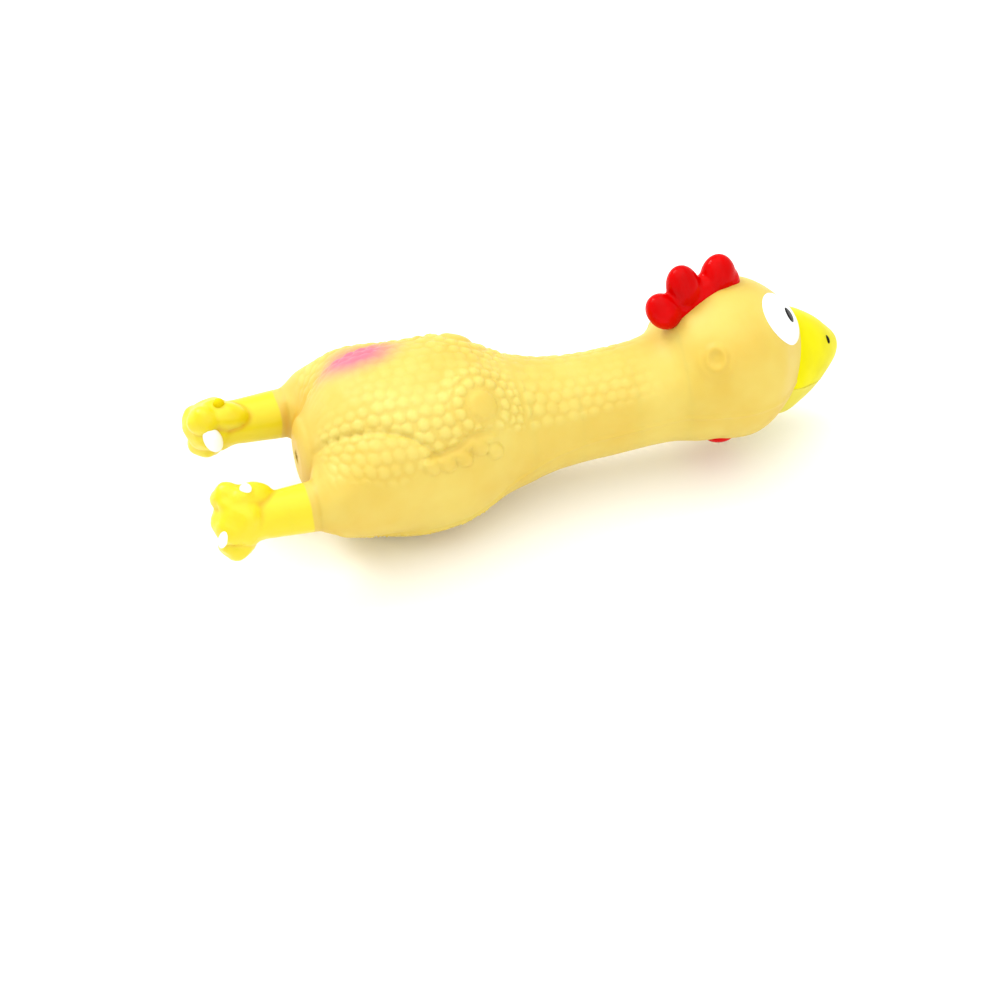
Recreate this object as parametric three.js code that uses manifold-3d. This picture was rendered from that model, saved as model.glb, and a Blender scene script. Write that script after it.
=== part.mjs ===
// Squeaky rubber chicken: a hollow slush-moulded latex toy that lies on its belly, beak towards +X,
// its left side towards +Y and its back up. Millimetres, origin at the centre of the footprint.
// The soft skin is one moulding on the real toy. Here it is cut where it flexes: a press panel in the
// back, three folds in the neck, and one fold at each hip and ankle, with firmer stretches between them.
import * as THREE from "three";
import { mergeVertices } from "three/addons/utils/BufferGeometryUtils.js";
import Module from "manifold-3d";

const wasm = await Module();
wasm.setup();

// ---- Driving dimensions -------------------------------------------------------------------------
const WALL = 2; // latex skin
const GAP = 0.3; // between neighbouring pieces
const SIDES = 24; // facets round a skin
const INNER_SIDES = 16; // facets round a bore, a thigh or a leg
const NECK_SIDES = 20; // facets round the neck and the beak
const BALL_SIDES = 12; // facets round a lobe
const TOE_SIDES = 10; // facets round a toe
const TINY_SIDES = 8; // facets round the smallest swellings

const TORSO_LENGTH = 57; // squeaker seat to neck root
const AXIS_HEIGHT = 23.2; // belly to the middle of the torso
const TORSO_WIDTH = 49.2; // skin alone, without the thighs
const TORSO_RISE = 25; // middle of the torso to the back
const TORSO_DROP = 24.6; // middle of the torso to the belly, before the table flattens it
const WING_REACH = 11; // half length of a wing's pad
const WING_WIDTH = 8; // half width of a wing's pad

const THIGH_LENGTH = 38.7;
const THIGH_RADIUS = 14;
const THIGH_BULGE = 0.4; // how far a thigh stands out beside the torso
const LEG_OFFSET = 17.4; // middle of the toy to the middle of a leg
const LEG_RADIUS = 6.3; // where a leg leaves its thigh
const ANKLE_RADIUS = 7.1;
const LEG_STUB = 1.3; // cream stub behind the squeaker seat
const HIP_FOLD = 5.2;
const SHANK_LENGTH = 3.4;
const ANKLE_FOLD = 3.6;
const FOOT_LENGTH = 12.4;
const FOOT_RADIUS = 7.8;
const CLAW_LENGTH = 3.2;
const CLAW_RADIUS = 1.9;

const NECK_RADIUS = 13.7;
const NECK_FOLD = 8;
const NECK_TUBE = 6.6;

const HEAD_RADIUS = 21;
const HEAD_CLEARANCE = 6.8; // under the head, as the toy lies on its belly
const HEAD_DRIFT = 2.4; // the head lolls to the left
const HEAD_AHEAD = 16.2; // rim of the head's skin to the middle of the head
const HEAD_YAW = 8.8; // degrees
const HEAD_PITCH = 15;
const HEAD_ROLL = -19;
const BEAK_REACH = 32.4; // middle of the head to the beak tip
const BEAK_HALF_WIDTH = 14;
const BEAK_HALF_HEIGHT = 14.6;
const LOWER_BEAK_REACH = 27; // middle of the head to the end of the lower beak
const MOUTH_DROP = 4.8; // middle of the head to the mouth line
const EYE_RADIUS = 8;
const EYE_DEPTH = 2.6;
const EYE_SIDE = 34; // degrees out from the middle plane
const EYE_UP = 61; // degrees above the beak line
const PUPIL_RADIUS = 2;
const NOSTRIL_RADIUS = 1;
const COMB_THICKNESS = 7.4;
const COMB_HEIGHT = 9.2; // highest lobe above the crown
const WATTLE_DROP = 1.8; // below the head

const PANEL_LENGTH = 28; // press panel in the back
const PANEL_WIDTH = 20;

const SQUEAKER_RADIUS = 4.5;
const SQUEAKER_LENGTH = 9.4;
const SQUEAKER_WALL = 1;
const FLANGE_RADIUS = 6.6;
const FLANGE_THICKNESS = 1;
const FLANGE_LIP = 1.3; // skin round the flange, which lies in a recess
const CAP_THICKNESS = 1.2;
const REED_THICKNESS = 0.3;
const REED_WIDTH = 2.2;
const REED_LENGTH = 4.6;
const REED_SEAT = 1.2; // length of the reed's root on its block
const REED_RECESS = 1.2; // depth under its tip

// ---- Places worked out from them ----------------------------------------------------------------
const LEG_REACH = LEG_STUB + HIP_FOLD + SHANK_LENGTH + ANKLE_FOLD + FOOT_LENGTH + 4 * GAP;
const NECK_LENGTH = 3 * NECK_FOLD + 2 * NECK_TUBE + 6 * GAP;
const headTurn = new THREE.Euler(
  THREE.MathUtils.degToRad(HEAD_ROLL),
  THREE.MathUtils.degToRad(HEAD_PITCH),
  THREE.MathUtils.degToRad(HEAD_YAW),
  "ZYX",
);
const headForward = new THREE.Vector3(1, 0, 0).applyEuler(headTurn);
const BEAK_TIP_AHEAD = HEAD_AHEAD + BEAK_REACH * headForward.x;
const OVERALL_LENGTH = LEG_REACH + TORSO_LENGTH + NECK_LENGTH + BEAK_TIP_AHEAD;
const seatX = LEG_REACH - OVERALL_LENGTH / 2; // the squeaker seat at the rump
const neckX = seatX + TORSO_LENGTH; // the neck root
const headRimX = neckX + NECK_LENGTH;
const headHeight = HEAD_RADIUS + HEAD_CLEARANCE;
const headCentre = new THREE.Vector3(headRimX + HEAD_AHEAD, HEAD_DRIFT, headHeight);
const thighOffset = TORSO_WIDTH / 2 + THIGH_BULGE - THIGH_RADIUS; // middle of the toy to that of a thigh
const squeakerHeight = AXIS_HEIGHT * 1.06;
const legHeight = AXIS_HEIGHT * 1.03;
const stubX = seatX - LEG_STUB;

// ---- Materials ----------------------------------------------------------------------------------
function finish(color, roughness, metalness = 0) {
  return new THREE.MeshStandardMaterial({ color, roughness, metalness });
}
const creamLatex = finish("#fbe46e", 0.55);
const yellowPaint = finish("#fbe320", 0.45);
const beakPaint = finish("#efe30f", 0.4);
const redPaint = finish("#e10202", 0.2);
const whitePaint = finish("#f2f2ee", 0.3);
const blackPaint = finish("#151515", 0.25);
const plastic = finish("#e9e6da", 0.5);
const brass = finish("#b8954c", 0.3, 1);

// ---- Solids -------------------------------------------------------------------------------------
// Rows of [share along, value, value, ...] joined by a smooth curve that never overshoots a row.
function smoothRow(rows, share) {
  const last = rows.length - 1;
  const at = Math.min(Math.max(share, rows[0][0]), rows[last][0]);
  const next = rows.findIndex((row) => row[0] > at);
  const i = (next < 0 ? last : next) - 1;
  const [a, b] = [rows[i], rows[i + 1]];
  const span = b[0] - a[0];
  const t = (at - a[0]) / span;
  const slope = (k, j) => (rows[k + 1][j] - rows[k][j]) / (rows[k + 1][0] - rows[k][0]);
  const tangent = (k, j) => {
    if (k === 0) return slope(0, j);
    if (k === last) return slope(last - 1, j);
    const [before, after] = [slope(k - 1, j), slope(k, j)];
    return before * after <= 0 ? 0 : (2 * before * after) / (before + after);
  };
  return a.map((_, j) => {
    if (j === 0) return at;
    const [m0, m1] = [tangent(i, j) * span, tangent(i + 1, j) * span];
    const [t2, t3] = [t * t, t * t * t];
    const rise = 3 * t2 - 2 * t3;
    return (1 - rise) * a[j] + (t3 - 2 * t2 + t) * m0 + rise * b[j] + (t3 - t2) * m1;
  });
}

// An egg-shaped ring square to X: half width, rise above and drop below its middle, cut flat at the floor.
function eggRing({ x, y, z, width, up, down }, floor, sides = SIDES) {
  return Array.from({ length: sides }, (_, k) => {
    const angle = (2 * Math.PI * k) / sides;
    const height = Math.sin(angle) > 0 ? up : down;
    return new THREE.Vector3(x, y + width * Math.cos(angle), Math.max(z + height * Math.sin(angle), floor));
  });
}

// A solid through rings that follow each other along +X, with a flat fan at each end.
function loft(rings) {
  const sides = rings[0].length;
  const middle = (ring) => {
    const sum = ring.reduce((total, point) => total.add(point), new THREE.Vector3());
    return sum.divideScalar(sides);
  };
  const points = [...rings.flat(), middle(rings[0]), middle(rings[rings.length - 1])];
  const [first, final] = [points.length - 2, points.length - 1];
  const index = [];
  for (let k = 0; k < sides; k++) {
    const next = (k + 1) % sides;
    for (let r = 0; r + 1 < rings.length; r++) {
      const [a, b] = [r * sides + k, r * sides + next];
      const [c, d] = [b + sides, a + sides];
      index.push(a, b, c, a, c, d);
    }
    const end = (rings.length - 1) * sides;
    index.push(first, next, k, final, end + k, end + next);
  }
  const geometry = new THREE.BufferGeometry().setFromPoints(points);
  geometry.setIndex(index);
  return geometry;
}

// A closed geometry as a solid that joins and cuts, and back again.
function solid(geometry) {
  const bare = geometry.clone();
  bare.deleteAttribute("normal");
  bare.deleteAttribute("uv");
  const merged = mergeVertices(bare, 1e-4);
  const vertProperties = new Float32Array(merged.attributes.position.array);
  const triVerts = new Uint32Array(merged.index.array);
  return new wasm.Manifold(new wasm.Mesh({ numProp: 3, vertProperties, triVerts }));
}
function geometryOf(body) {
  const { vertProperties, triVerts } = body.getMesh();
  const geometry = new THREE.BufferGeometry();
  geometry.setAttribute("position", new THREE.BufferAttribute(new Float32Array(vertProperties), 3));
  geometry.setIndex(new THREE.BufferAttribute(new Uint32Array(triVerts), 1));
  geometry.computeVertexNormals();
  return geometry;
}
const join = (...bodies) => bodies.reduce((all, body) => all.add(body));

// A ball stretched to three half sizes, turned by three angles in degrees and set down at a point.
function lobe([rx, ry, rz], [x, y, z], [ax, ay, az] = [0, 0, 0], sides = BALL_SIDES) {
  const turn = new THREE.Euler(...[ax, ay, az].map(THREE.MathUtils.degToRad), "ZYX");
  return solid(
    new THREE.SphereGeometry(1, sides, Math.round(sides * 0.6))
      .scale(rx, ry, rz)
      .applyMatrix4(new THREE.Matrix4().makeRotationFromEuler(turn))
      .translate(x, y, z),
  );
}
// A box from its lowest to its highest corner.
function block([x0, y0, z0], [x1, y1, z1]) {
  const box = new THREE.BoxGeometry(x1 - x0, y1 - y0, z1 - z0);
  return solid(box.translate((x0 + x1) / 2, (y0 + y1) / 2, (z0 + z1) / 2));
}
// A round bar along X, from x0 to x1.
function bar(radius, x0, x1, y, z, sides = SIDES) {
  const round = new THREE.CylinderGeometry(radius, radius, x1 - x0, sides).rotateZ(-Math.PI / 2);
  return solid(round.translate((x0 + x1) / 2, y, z));
}

function piece(name, body, material, group) {
  const mesh = new THREE.Mesh(body.isBufferGeometry ? body : geometryOf(body), material);
  mesh.name = name;
  group.add(mesh);
}

// ---- Torso: shell with thighs and wings, press panel, squeaker ----------------------------------
// Share of the torso's length, then shares of axis height, half width, rise and drop.
const TORSO_SHAPE = [
  [0, 1.06, 0.31, 0.31, 0.32],
  [0.035, 1.06, 0.49, 0.48, 0.53],
  [0.105, 1.05, 0.68, 0.73, 0.74],
  [0.19, 1.03, 0.82, 0.91, 0.89],
  [0.31, 1.01, 0.93, 1.0, 0.97],
  [0.47, 1, 0.995, 1, 1],
  [0.63, 1, 0.965, 0.98, 0.97],
  [0.75, 1.01, 0.875, 0.9, 0.88],
  [0.87, 1, 0.74, 0.76, 0.76],
  [1, 0.98, 0.65, 0.64, 0.67],
];
function torsoSection(share, inset) {
  const [at, rise, width, up, down] = smoothRow(TORSO_SHAPE, share);
  return {
    x: seatX + at * TORSO_LENGTH,
    y: 0,
    z: AXIS_HEIGHT * rise,
    width: (TORSO_WIDTH / 2) * width - inset,
    up: TORSO_RISE * up - inset,
    down: TORSO_DROP * down - inset,
  };
}
function torsoBody(inset) {
  const shares = [0, 0.015, 0.045, 0.1, 0.17, 0.26, 0.37, 0.5, 0.62, 0.73, 0.84, 0.92, 1];
  const rings = shares.map((share) => {
    const section = torsoSection(share, inset);
    section.x += share === 0 ? inset : 0;
    section.x += share === 1 && inset > 0 ? 1 : 0;
    return eggRing(section, inset, inset > 0 ? INNER_SIDES : SIDES);
  });
  return solid(loft(inset > 0 ? rings.filter((_, i) => i !== 1 && i !== 2) : rings));
}

// Share of the thigh's length from its stub, then shares of the way from leg to thigh and of its radius.
const THIGH_SHAPE = [
  [0, 0, 0.45],
  [0.05, 0.02, 0.53],
  [0.14, 0.1, 0.66],
  [0.28, 0.42, 0.82],
  [0.45, 0.7, 0.95],
  [0.65, 1, 1],
  [0.83, 1.05, 0.9],
  [0.93, 1.1, 0.68],
  [1, 1.15, 0.3],
];
function thigh(side, inset) {
  const rings = THIGH_SHAPE.map(([share]) => {
    const [at, inwards, size] = smoothRow(THIGH_SHAPE, share);
    const radius = THIGH_RADIUS * size - inset;
    return eggRing(
      {
        x: stubX + at * THIGH_LENGTH + (at === 0 ? 3 * inset : 0) - (at === 1 ? inset : 0),
        y: side * (LEG_OFFSET + (thighOffset - LEG_OFFSET) * inwards),
        z: legHeight + (AXIS_HEIGHT - legHeight) * inwards,
        width: Math.max(radius, 1),
        up: Math.max(radius, 1),
        down: Math.max(radius, 1),
      },
      inset,
      INNER_SIDES,
    );
  });
  return solid(loft(inset > 0 ? rings.slice(0, 1).concat(rings.slice(3)) : rings));
}

// A wing is low relief on the torso's side: a folded pad, a round shoulder boss and three feather tips.
function wing(side) {
  const middle = torsoSection(0.71, 0);
  const onSide = (degrees, ahead, lift) => {
    const angle = THREE.MathUtils.degToRad(degrees);
    return [
      middle.x + ahead,
      side * (middle.width + lift) * Math.sin(angle),
      middle.z + (middle.up + lift) * Math.cos(angle),
    ];
  };
  const swelling = (size, [degrees, ahead, lift], sides) =>
    lobe(size, onSide(degrees, ahead, lift), [-side * degrees, 0, 0], sides);
  const pad = swelling([WING_REACH, WING_WIDTH, 2.8], [46, -3.5, -1.8], BALL_SIDES);
  const boss = swelling([2.8, 2.8, 1.6], [32, 3, -0.6], TINY_SIDES);
  const tips = [-9.5, -4.5, 0.5].map((ahead) => swelling([3.4, 2.6, 1.8], [63, ahead, -0.6], TINY_SIDES));
  return join(pad, boss, ...tips);
}

const panelMiddle = seatX + TORSO_LENGTH * 0.49;
function panelCutter(growth) {
  const [halfLength, halfWidth] = [PANEL_LENGTH / 2 + growth, PANEL_WIDTH / 2 + growth];
  const oval = new THREE.CylinderGeometry(1, 1, 40, SIDES).rotateX(Math.PI / 2);
  return solid(oval.scale(halfLength, halfWidth, 1).translate(panelMiddle, 0, AXIS_HEIGHT + 24));
}

const outside = join(torsoBody(0), thigh(1, 0), thigh(-1, 0), wing(1), wing(-1));
const inside = join(torsoBody(WALL), thigh(1, WALL), thigh(-1, WALL));
const shell = outside.subtract(inside);
// The squeaker's flange lies flush in a recess in the rump, with a lip of skin round it.
const flangeBack = seatX - GAP - FLANGE_THICKNESS;
const lip = bar(FLANGE_RADIUS + GAP + FLANGE_LIP, flangeBack, seatX + WALL / 2, 0, squeakerHeight);
const flangeRecess = bar(FLANGE_RADIUS + GAP, flangeBack - 1, seatX, 0, squeakerHeight);
const squeakerHole = bar(SQUEAKER_RADIUS + GAP, seatX - 1, seatX + 3 * WALL, 0, squeakerHeight);

const toy = new THREE.Group();
const torso = new THREE.Group();
toy.add(torso);
const openShell = shell.subtract(panelCutter(GAP)).add(lip);
piece("torso_skin", openShell.subtract(flangeRecess).subtract(squeakerHole), creamLatex, torso);
piece("back_press_panel", shell.intersect(panelCutter(0)), creamLatex, torso);

// The squeaker is built along its own +Y, mouth at 0, then laid along +X in the rump.
const squeaker = new THREE.Group();
squeaker.position.set(flangeBack, 0, squeakerHeight);
squeaker.rotation.z = -Math.PI / 2;
toy.add(squeaker);
function lathe(profile) {
  const points = profile.map(([radius, height]) => new THREE.Vector2(radius, height));
  return solid(new THREE.LatheGeometry(points, INNER_SIDES));
}
const mouthRadius = SQUEAKER_RADIUS / 3;
const boreRadius = SQUEAKER_RADIUS - SQUEAKER_WALL;
const cup = [
  [mouthRadius, 0],
  [FLANGE_RADIUS, 0],
  [FLANGE_RADIUS, FLANGE_THICKNESS],
  [SQUEAKER_RADIUS, FLANGE_THICKNESS],
  [SQUEAKER_RADIUS, SQUEAKER_LENGTH],
  [boreRadius, SQUEAKER_LENGTH],
  [boreRadius, 2 * FLANGE_THICKNESS],
  [mouthRadius, 2 * FLANGE_THICKNESS],
  [mouthRadius, 0],
];
piece("squeaker_cup", lathe(cup), plastic, squeaker);
const capStart = SQUEAKER_LENGTH + GAP;
const cap = [
  [mouthRadius, capStart],
  [SQUEAKER_RADIUS, capStart],
  [SQUEAKER_RADIUS, capStart + CAP_THICKNESS],
  [mouthRadius, capStart + CAP_THICKNESS],
  [mouthRadius, capStart],
];
piece("squeaker_cap", lathe(cap), plastic, squeaker);
const reedStart = 2 * FLANGE_THICKNESS + GAP;
const blockRadius = boreRadius - GAP;
const blockEnd = capStart - 2 * GAP;
const round = lathe([
  [0, reedStart],
  [blockRadius, reedStart],
  [blockRadius, blockEnd],
  [0, blockEnd],
]);
// The block is a half round table; the reed lies along it, its root on the table, its tip over a recess.
const aboveTable = block([-blockRadius - 1, 0, 0], [blockRadius + 1, 2 * SQUEAKER_LENGTH, blockRadius + 1]);
const reedRoot = reedStart + 1;
const recessHalfWidth = REED_WIDTH / 2 + GAP;
const recess = block(
  [-recessHalfWidth, reedRoot + REED_SEAT, -REED_RECESS],
  [recessHalfWidth, reedRoot + REED_LENGTH + GAP, blockRadius],
);
piece("reed_block", round.subtract(aboveTable).subtract(recess), plastic, squeaker);
const reed = new THREE.BoxGeometry(REED_WIDTH, REED_LENGTH, REED_THICKNESS);
reed.translate(0, reedRoot + REED_LENGTH / 2, GAP + REED_THICKNESS / 2);
piece("squeaker_reed", reed, brass, squeaker);

// ---- Legs ---------------------------------------------------------------------------------------
function legStretch(x0, x1, side, startRadius, endRadius) {
  const place = { y: side * LEG_OFFSET, z: legHeight };
  const at = (x, radius) => eggRing({ ...place, x, width: radius, up: radius, down: radius }, 0, INNER_SIDES);
  return solid(loft([at(x0, startRadius), at(x1, endRadius)]));
}
function leg(side, word) {
  const group = new THREE.Group();
  toy.add(group);
  const hipBack = stubX - GAP - HIP_FOLD;
  const shankBack = hipBack - GAP - SHANK_LENGTH;
  const ankleBack = shankBack - GAP - ANKLE_FOLD;
  const footFront = ankleBack - GAP;
  // The leg thickens evenly from its stub to the ankle.
  const stretch = (name, x0, x1) => {
    const radius = (x) => LEG_RADIUS + ((ANKLE_RADIUS - LEG_RADIUS) * (stubX - x)) / (stubX - footFront);
    piece(`${word}_${name}`, legStretch(x0, x1, side, radius(x0), radius(x1)), yellowPaint, group);
  };
  stretch("hip_fold", hipBack, stubX - GAP);
  stretch("leg_shank", shankBack, hipBack - GAP);
  stretch("ankle_fold", ankleBack, shankBack - GAP);
  // The foot is a fist: a palm with a toe on top, one at the end outside, one inside, and a heel pad.
  const y = side * LEG_OFFSET;
  const palmX = footFront - FOOT_LENGTH * 0.42;
  const endX = footFront - FOOT_LENGTH;
  const palm = lobe([FOOT_LENGTH * 0.62, FOOT_RADIUS * 0.9, FOOT_RADIUS], [palmX, y, legHeight + 0.8]);
  const topHeight = legHeight + FOOT_RADIUS * 0.68;
  const innerSide = y - side * FOOT_RADIUS * 0.5;
  const toes = [
    { tip: [palmX + 0.6, y - side * 2.6, topHeight], size: [5, 3.6, 4] },
    { tip: [endX + 5.1, y + side * 2.4, legHeight - 1], size: [4.8, 3.9, 3.8] },
    { tip: [endX + 6, innerSide, legHeight + 2], size: [4.6, 3.8, 4.4] },
  ];
  const heelAt = [palmX - 1, y + side, legHeight - FOOT_RADIUS * 0.6];
  const heel = lobe([5, 4.6, 4.6], heelAt, [0, 0, 0], TOE_SIDES);
  const claws = [
    { at: [palmX + 1.6, y - side * 3.4, topHeight + 3.2], turn: [0, -35, 0] },
    { at: [endX + CLAW_LENGTH * 0.92, y + side * 3.6, legHeight - 2.4], turn: [0, 20, 0] },
    { at: [endX + CLAW_LENGTH + 1.6, innerSide - side * 3.2, legHeight + 0.6], turn: [0, 40, 0] },
  ];
  const clawShape = (growth, { at, turn }) =>
    lobe([CLAW_LENGTH + growth, CLAW_RADIUS + growth, CLAW_RADIUS + growth], at, turn, TINY_SIDES);
  const ankleFace = block([endX - 20, y - 30, legHeight - 30], [footFront, y + 30, legHeight + 30]);
  const ankle = legStretch(palmX, footFront + 2, side, ANKLE_RADIUS, ANKLE_RADIUS);
  const knuckles = toes.map(({ tip, size }) => lobe(size, tip, [0, 0, 0], TOE_SIDES));
  let foot = join(palm, heel, ankle, ...knuckles).intersect(ankleFace);
  ["top", "outer", "inner"].forEach((place, i) => {
    foot = foot.subtract(clawShape(GAP, claws[i]));
    piece(`${word}_${place}_claw`, clawShape(0, claws[i]), whitePaint, group);
  });
  piece(`${word}_foot`, foot, yellowPaint, group);
}
leg(1, "left");
leg(-1, "right");

// ---- Neck ---------------------------------------------------------------------------------------
// Share of the neck's length, then shares of axis height and neck radius, and of the head's drift.
const NECK_SHAPE = [
  [0, 0.98, 1.17, 0],
  [0.2, 0.97, 1.05, 0],
  [0.45, 0.967, 1, 0],
  [0.7, 0.985, 0.995, 0.03],
  [0.87, 1.015, 1.02, 0.1],
  [1, 1.055, 1.09, 0.25],
];
function neckSection(x, inset) {
  const [, rise, size, drift] = smoothRow(NECK_SHAPE, (x - neckX) / NECK_LENGTH);
  const radius = NECK_RADIUS * size - inset;
  return { x, y: HEAD_DRIFT * drift, z: AXIS_HEIGHT * rise, width: radius, up: radius, down: radius };
}
// An open tube of skin: its outer loft less its bore.
function neckTube(x0, x1) {
  const places = [x0, (x0 + x1) / 2, x1];
  const skin = (inset, overrun) => {
    const rings = places.map((x, i) => {
      const section = neckSection(x, inset);
      return eggRing({ ...section, x: x + (i - 1) * overrun }, 0, NECK_SIDES);
    });
    return solid(loft(rings));
  };
  return skin(0, 0).subtract(skin(WALL, 1));
}
const neck = new THREE.Group();
toy.add(neck);
let tubeStart = neckX + GAP;
for (const [name, length] of [
  ["neck_root_fold", NECK_FOLD],
  ["neck_lower_tube", NECK_TUBE],
  ["neck_middle_fold", NECK_FOLD],
  ["neck_upper_tube", NECK_TUBE],
  ["neck_head_fold", NECK_FOLD],
]) {
  piece(name, neckTube(tubeStart, tubeStart + length), creamLatex, neck);
  tubeStart += length + GAP;
}

// ---- Head ---------------------------------------------------------------------------------------
// Everything on the head is built round the middle of the head, beak towards +X, crown towards +Z.
const head = new THREE.Group();
head.position.copy(headCentre);
head.rotation.copy(headTurn);
toy.add(head);
head.updateMatrixWorld(true);
const intoHead = head.matrixWorld.clone().invert();

function headBall(growth, sides = SIDES) {
  const radius = HEAD_RADIUS + growth;
  return lobe([radius, radius, radius], [0, 0, 0], [0, 0, 0], sides);
}
// The throat widens from the neck into the head; it is built in the toy's frame, then put in the head's.
function throat(inset, overrun) {
  const rim = neckSection(headRimX, inset);
  const rings = [0, 0.35, 0.7, 1].map((share) => {
    const radius = rim.width + (HEAD_RADIUS * 0.93 - inset - rim.width) * Math.sin((share * Math.PI) / 2);
    return eggRing(
      {
        x: headRimX + share * HEAD_AHEAD * 0.66 - (share === 0 ? overrun : 0),
        y: rim.y + (HEAD_DRIFT - rim.y) * share,
        z: rim.z + (headCentre.z - rim.z) * share,
        width: radius,
        up: radius,
        down: radius,
      },
      0,
      INNER_SIDES,
    );
  });
  return solid(loft(rings).applyMatrix4(intoHead));
}
const farOut = 2 * HEAD_RADIUS;
const rearBox = new THREE.BoxGeometry(farOut, 2 * farOut, 2 * farOut);
rearBox.translate(headRimX - farOut / 2, HEAD_DRIFT, headCentre.z);
const behindRim = solid(rearBox.applyMatrix4(intoHead));
const earAt = (side) => [-HEAD_RADIUS * 0.56, side * HEAD_RADIUS * 0.71, HEAD_RADIUS * 0.39];
const ears = [1, -1].map((side) => lobe([2.2, 2.6, 2.8], earAt(side), [0, 0, 0], TINY_SIDES));
const headOutside = join(headBall(0), throat(0, 0), ...ears).subtract(behindRim);
const headInside = join(headBall(-WALL, INNER_SIDES), throat(WALL, 1));
piece("head_skin", headOutside.subtract(headInside), creamLatex, head);

const clear = join(headBall(GAP), throat(-GAP, 1));
// Lobes of the comb in the middle plane: place ahead of and above the middle of the head, and half length.
const combTop = HEAD_RADIUS + COMB_HEIGHT;
const combLobes = [
  { ahead: -5.2, above: combTop - 7.6, size: 5 },
  { ahead: -16.2, above: combTop - 8.8, size: 4.6 },
  { ahead: -22, above: combTop - 15.6, size: 4.2 },
];
const combBase = [
  { ahead: -9, above: HEAD_RADIUS - 1, size: 5.4 },
  { ahead: -17, above: HEAD_RADIUS - 6.2, size: 5.4 },
];
const combSolids = [...combLobes, ...combBase].map(({ ahead, above, size }) =>
  lobe([size, COMB_THICKNESS / 2, size], [ahead, 0, above]),
);
piece("comb", join(...combSolids).subtract(clear), redPaint, head);

const wattleLobes = [1, -1].map((side) =>
  lobe([5, 3.2, WATTLE_DROP + 1.4], [-0.6, side * 1.6, -HEAD_RADIUS + 1.4]),
);
piece("wattle", join(...wattleLobes).subtract(clear), redPaint, head);

// Share of the way from the beak's root to its tip, then shares of half width, rise and drop, and height.
const BEAK_SHAPE = [
  [0, 1, 1, 1, -1.6],
  [0.3, 0.87, 0.86, 0.8, -1.2],
  [0.6, 0.65, 0.62, 0.57, -0.6],
  [0.82, 0.42, 0.42, 0.42, -0.6],
  [0.94, 0.24, 0.26, 0.3, -0.6],
  [1, 0.08, 0.08, 0.1, -0.6],
];
const beakRoot = HEAD_RADIUS * 0.68;
function beakCone(growth, reach) {
  const rings = BEAK_SHAPE.map(([share, width, up, down, middle]) =>
    eggRing(
      {
        x: beakRoot + share * (reach - beakRoot) + (share === 1 ? growth : 0),
        y: 0,
        z: middle,
        width: BEAK_HALF_WIDTH * width + growth,
        up: BEAK_HALF_HEIGHT * up + growth,
        down: BEAK_HALF_HEIGHT * down + growth,
      },
      -Infinity,
      NECK_SIDES,
    ),
  );
  return solid(loft(rings));
}
const belowMouth = block([0, -farOut, -farOut], [LOWER_BEAK_REACH + GAP, farOut, -MOUTH_DROP]);
const upperBeak = beakCone(0, BEAK_REACH).subtract(clear).subtract(belowMouth);
piece("upper_beak", upperBeak, beakPaint, head);
const jaw = block([0, -farOut, -farOut], [LOWER_BEAK_REACH, farOut, -MOUTH_DROP - GAP]);
piece("lower_beak", beakCone(0, BEAK_REACH).subtract(clear).intersect(jaw), beakPaint, head);

// Eyes look up and forwards; each is a shallow cap on the head with an upright pupil towards the beak.
function onEyeDirection(side, distance, sideDegrees, upDegrees) {
  const [out, up] = [sideDegrees, upDegrees].map(THREE.MathUtils.degToRad);
  return [
    distance * Math.cos(up) * Math.cos(out),
    side * distance * Math.sin(out),
    distance * Math.sin(up) * Math.cos(out),
  ];
}
function eyeBall(side, growth) {
  const at = onEyeDirection(side, HEAD_RADIUS - 0.4, EYE_SIDE, EYE_UP);
  const size = [EYE_DEPTH + growth, EYE_RADIUS + growth, EYE_RADIUS + growth];
  return lobe(size, at, [0, -EYE_UP, side * EYE_SIDE], INNER_SIDES);
}
const beakRoom = beakCone(GAP, BEAK_REACH);
const nostrilX = beakRoot + 0.66 * (BEAK_REACH - beakRoot);
for (const [side, word] of [[1, "left"], [-1, "right"]]) {
  const turn = [0, -EYE_UP, side * EYE_SIDE];
  piece(`${word}_eye`, eyeBall(side, 0).subtract(clear).subtract(beakRoom), whitePaint, head);
  const pupilAt = onEyeDirection(side, HEAD_RADIUS + 1.9, EYE_SIDE - 3, EYE_UP - 4);
  const pupil = lobe([1.2, PUPIL_RADIUS * 0.8, PUPIL_RADIUS], pupilAt, turn, TOE_SIDES);
  const pupilCap = pupil.subtract(eyeBall(side, GAP)).subtract(clear).subtract(beakRoom);
  piece(`${word}_pupil`, pupilCap, blackPaint, head);
  const nostrilSize = [NOSTRIL_RADIUS, 1.3, NOSTRIL_RADIUS * 1.5];
  const nostrilAt = [nostrilX, side * BEAK_HALF_WIDTH * 0.5, 3.6];
  const nostril = lobe(nostrilSize, nostrilAt, [0, 20, 0], TINY_SIDES);
  piece(`${word}_nostril`, nostril.subtract(beakRoom), blackPaint, head);
}

export default toy;
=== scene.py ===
"""A squeaky rubber chicken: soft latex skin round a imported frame, painted comb, beak, eyes, feet and claws.

Laid out as an add-on: each piece or group of like pieces has an operator, and the sizes and colours that a
user would change are properties. Shapes are worked out in millimetres and put into meshes in metres.
"""

import math

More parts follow.
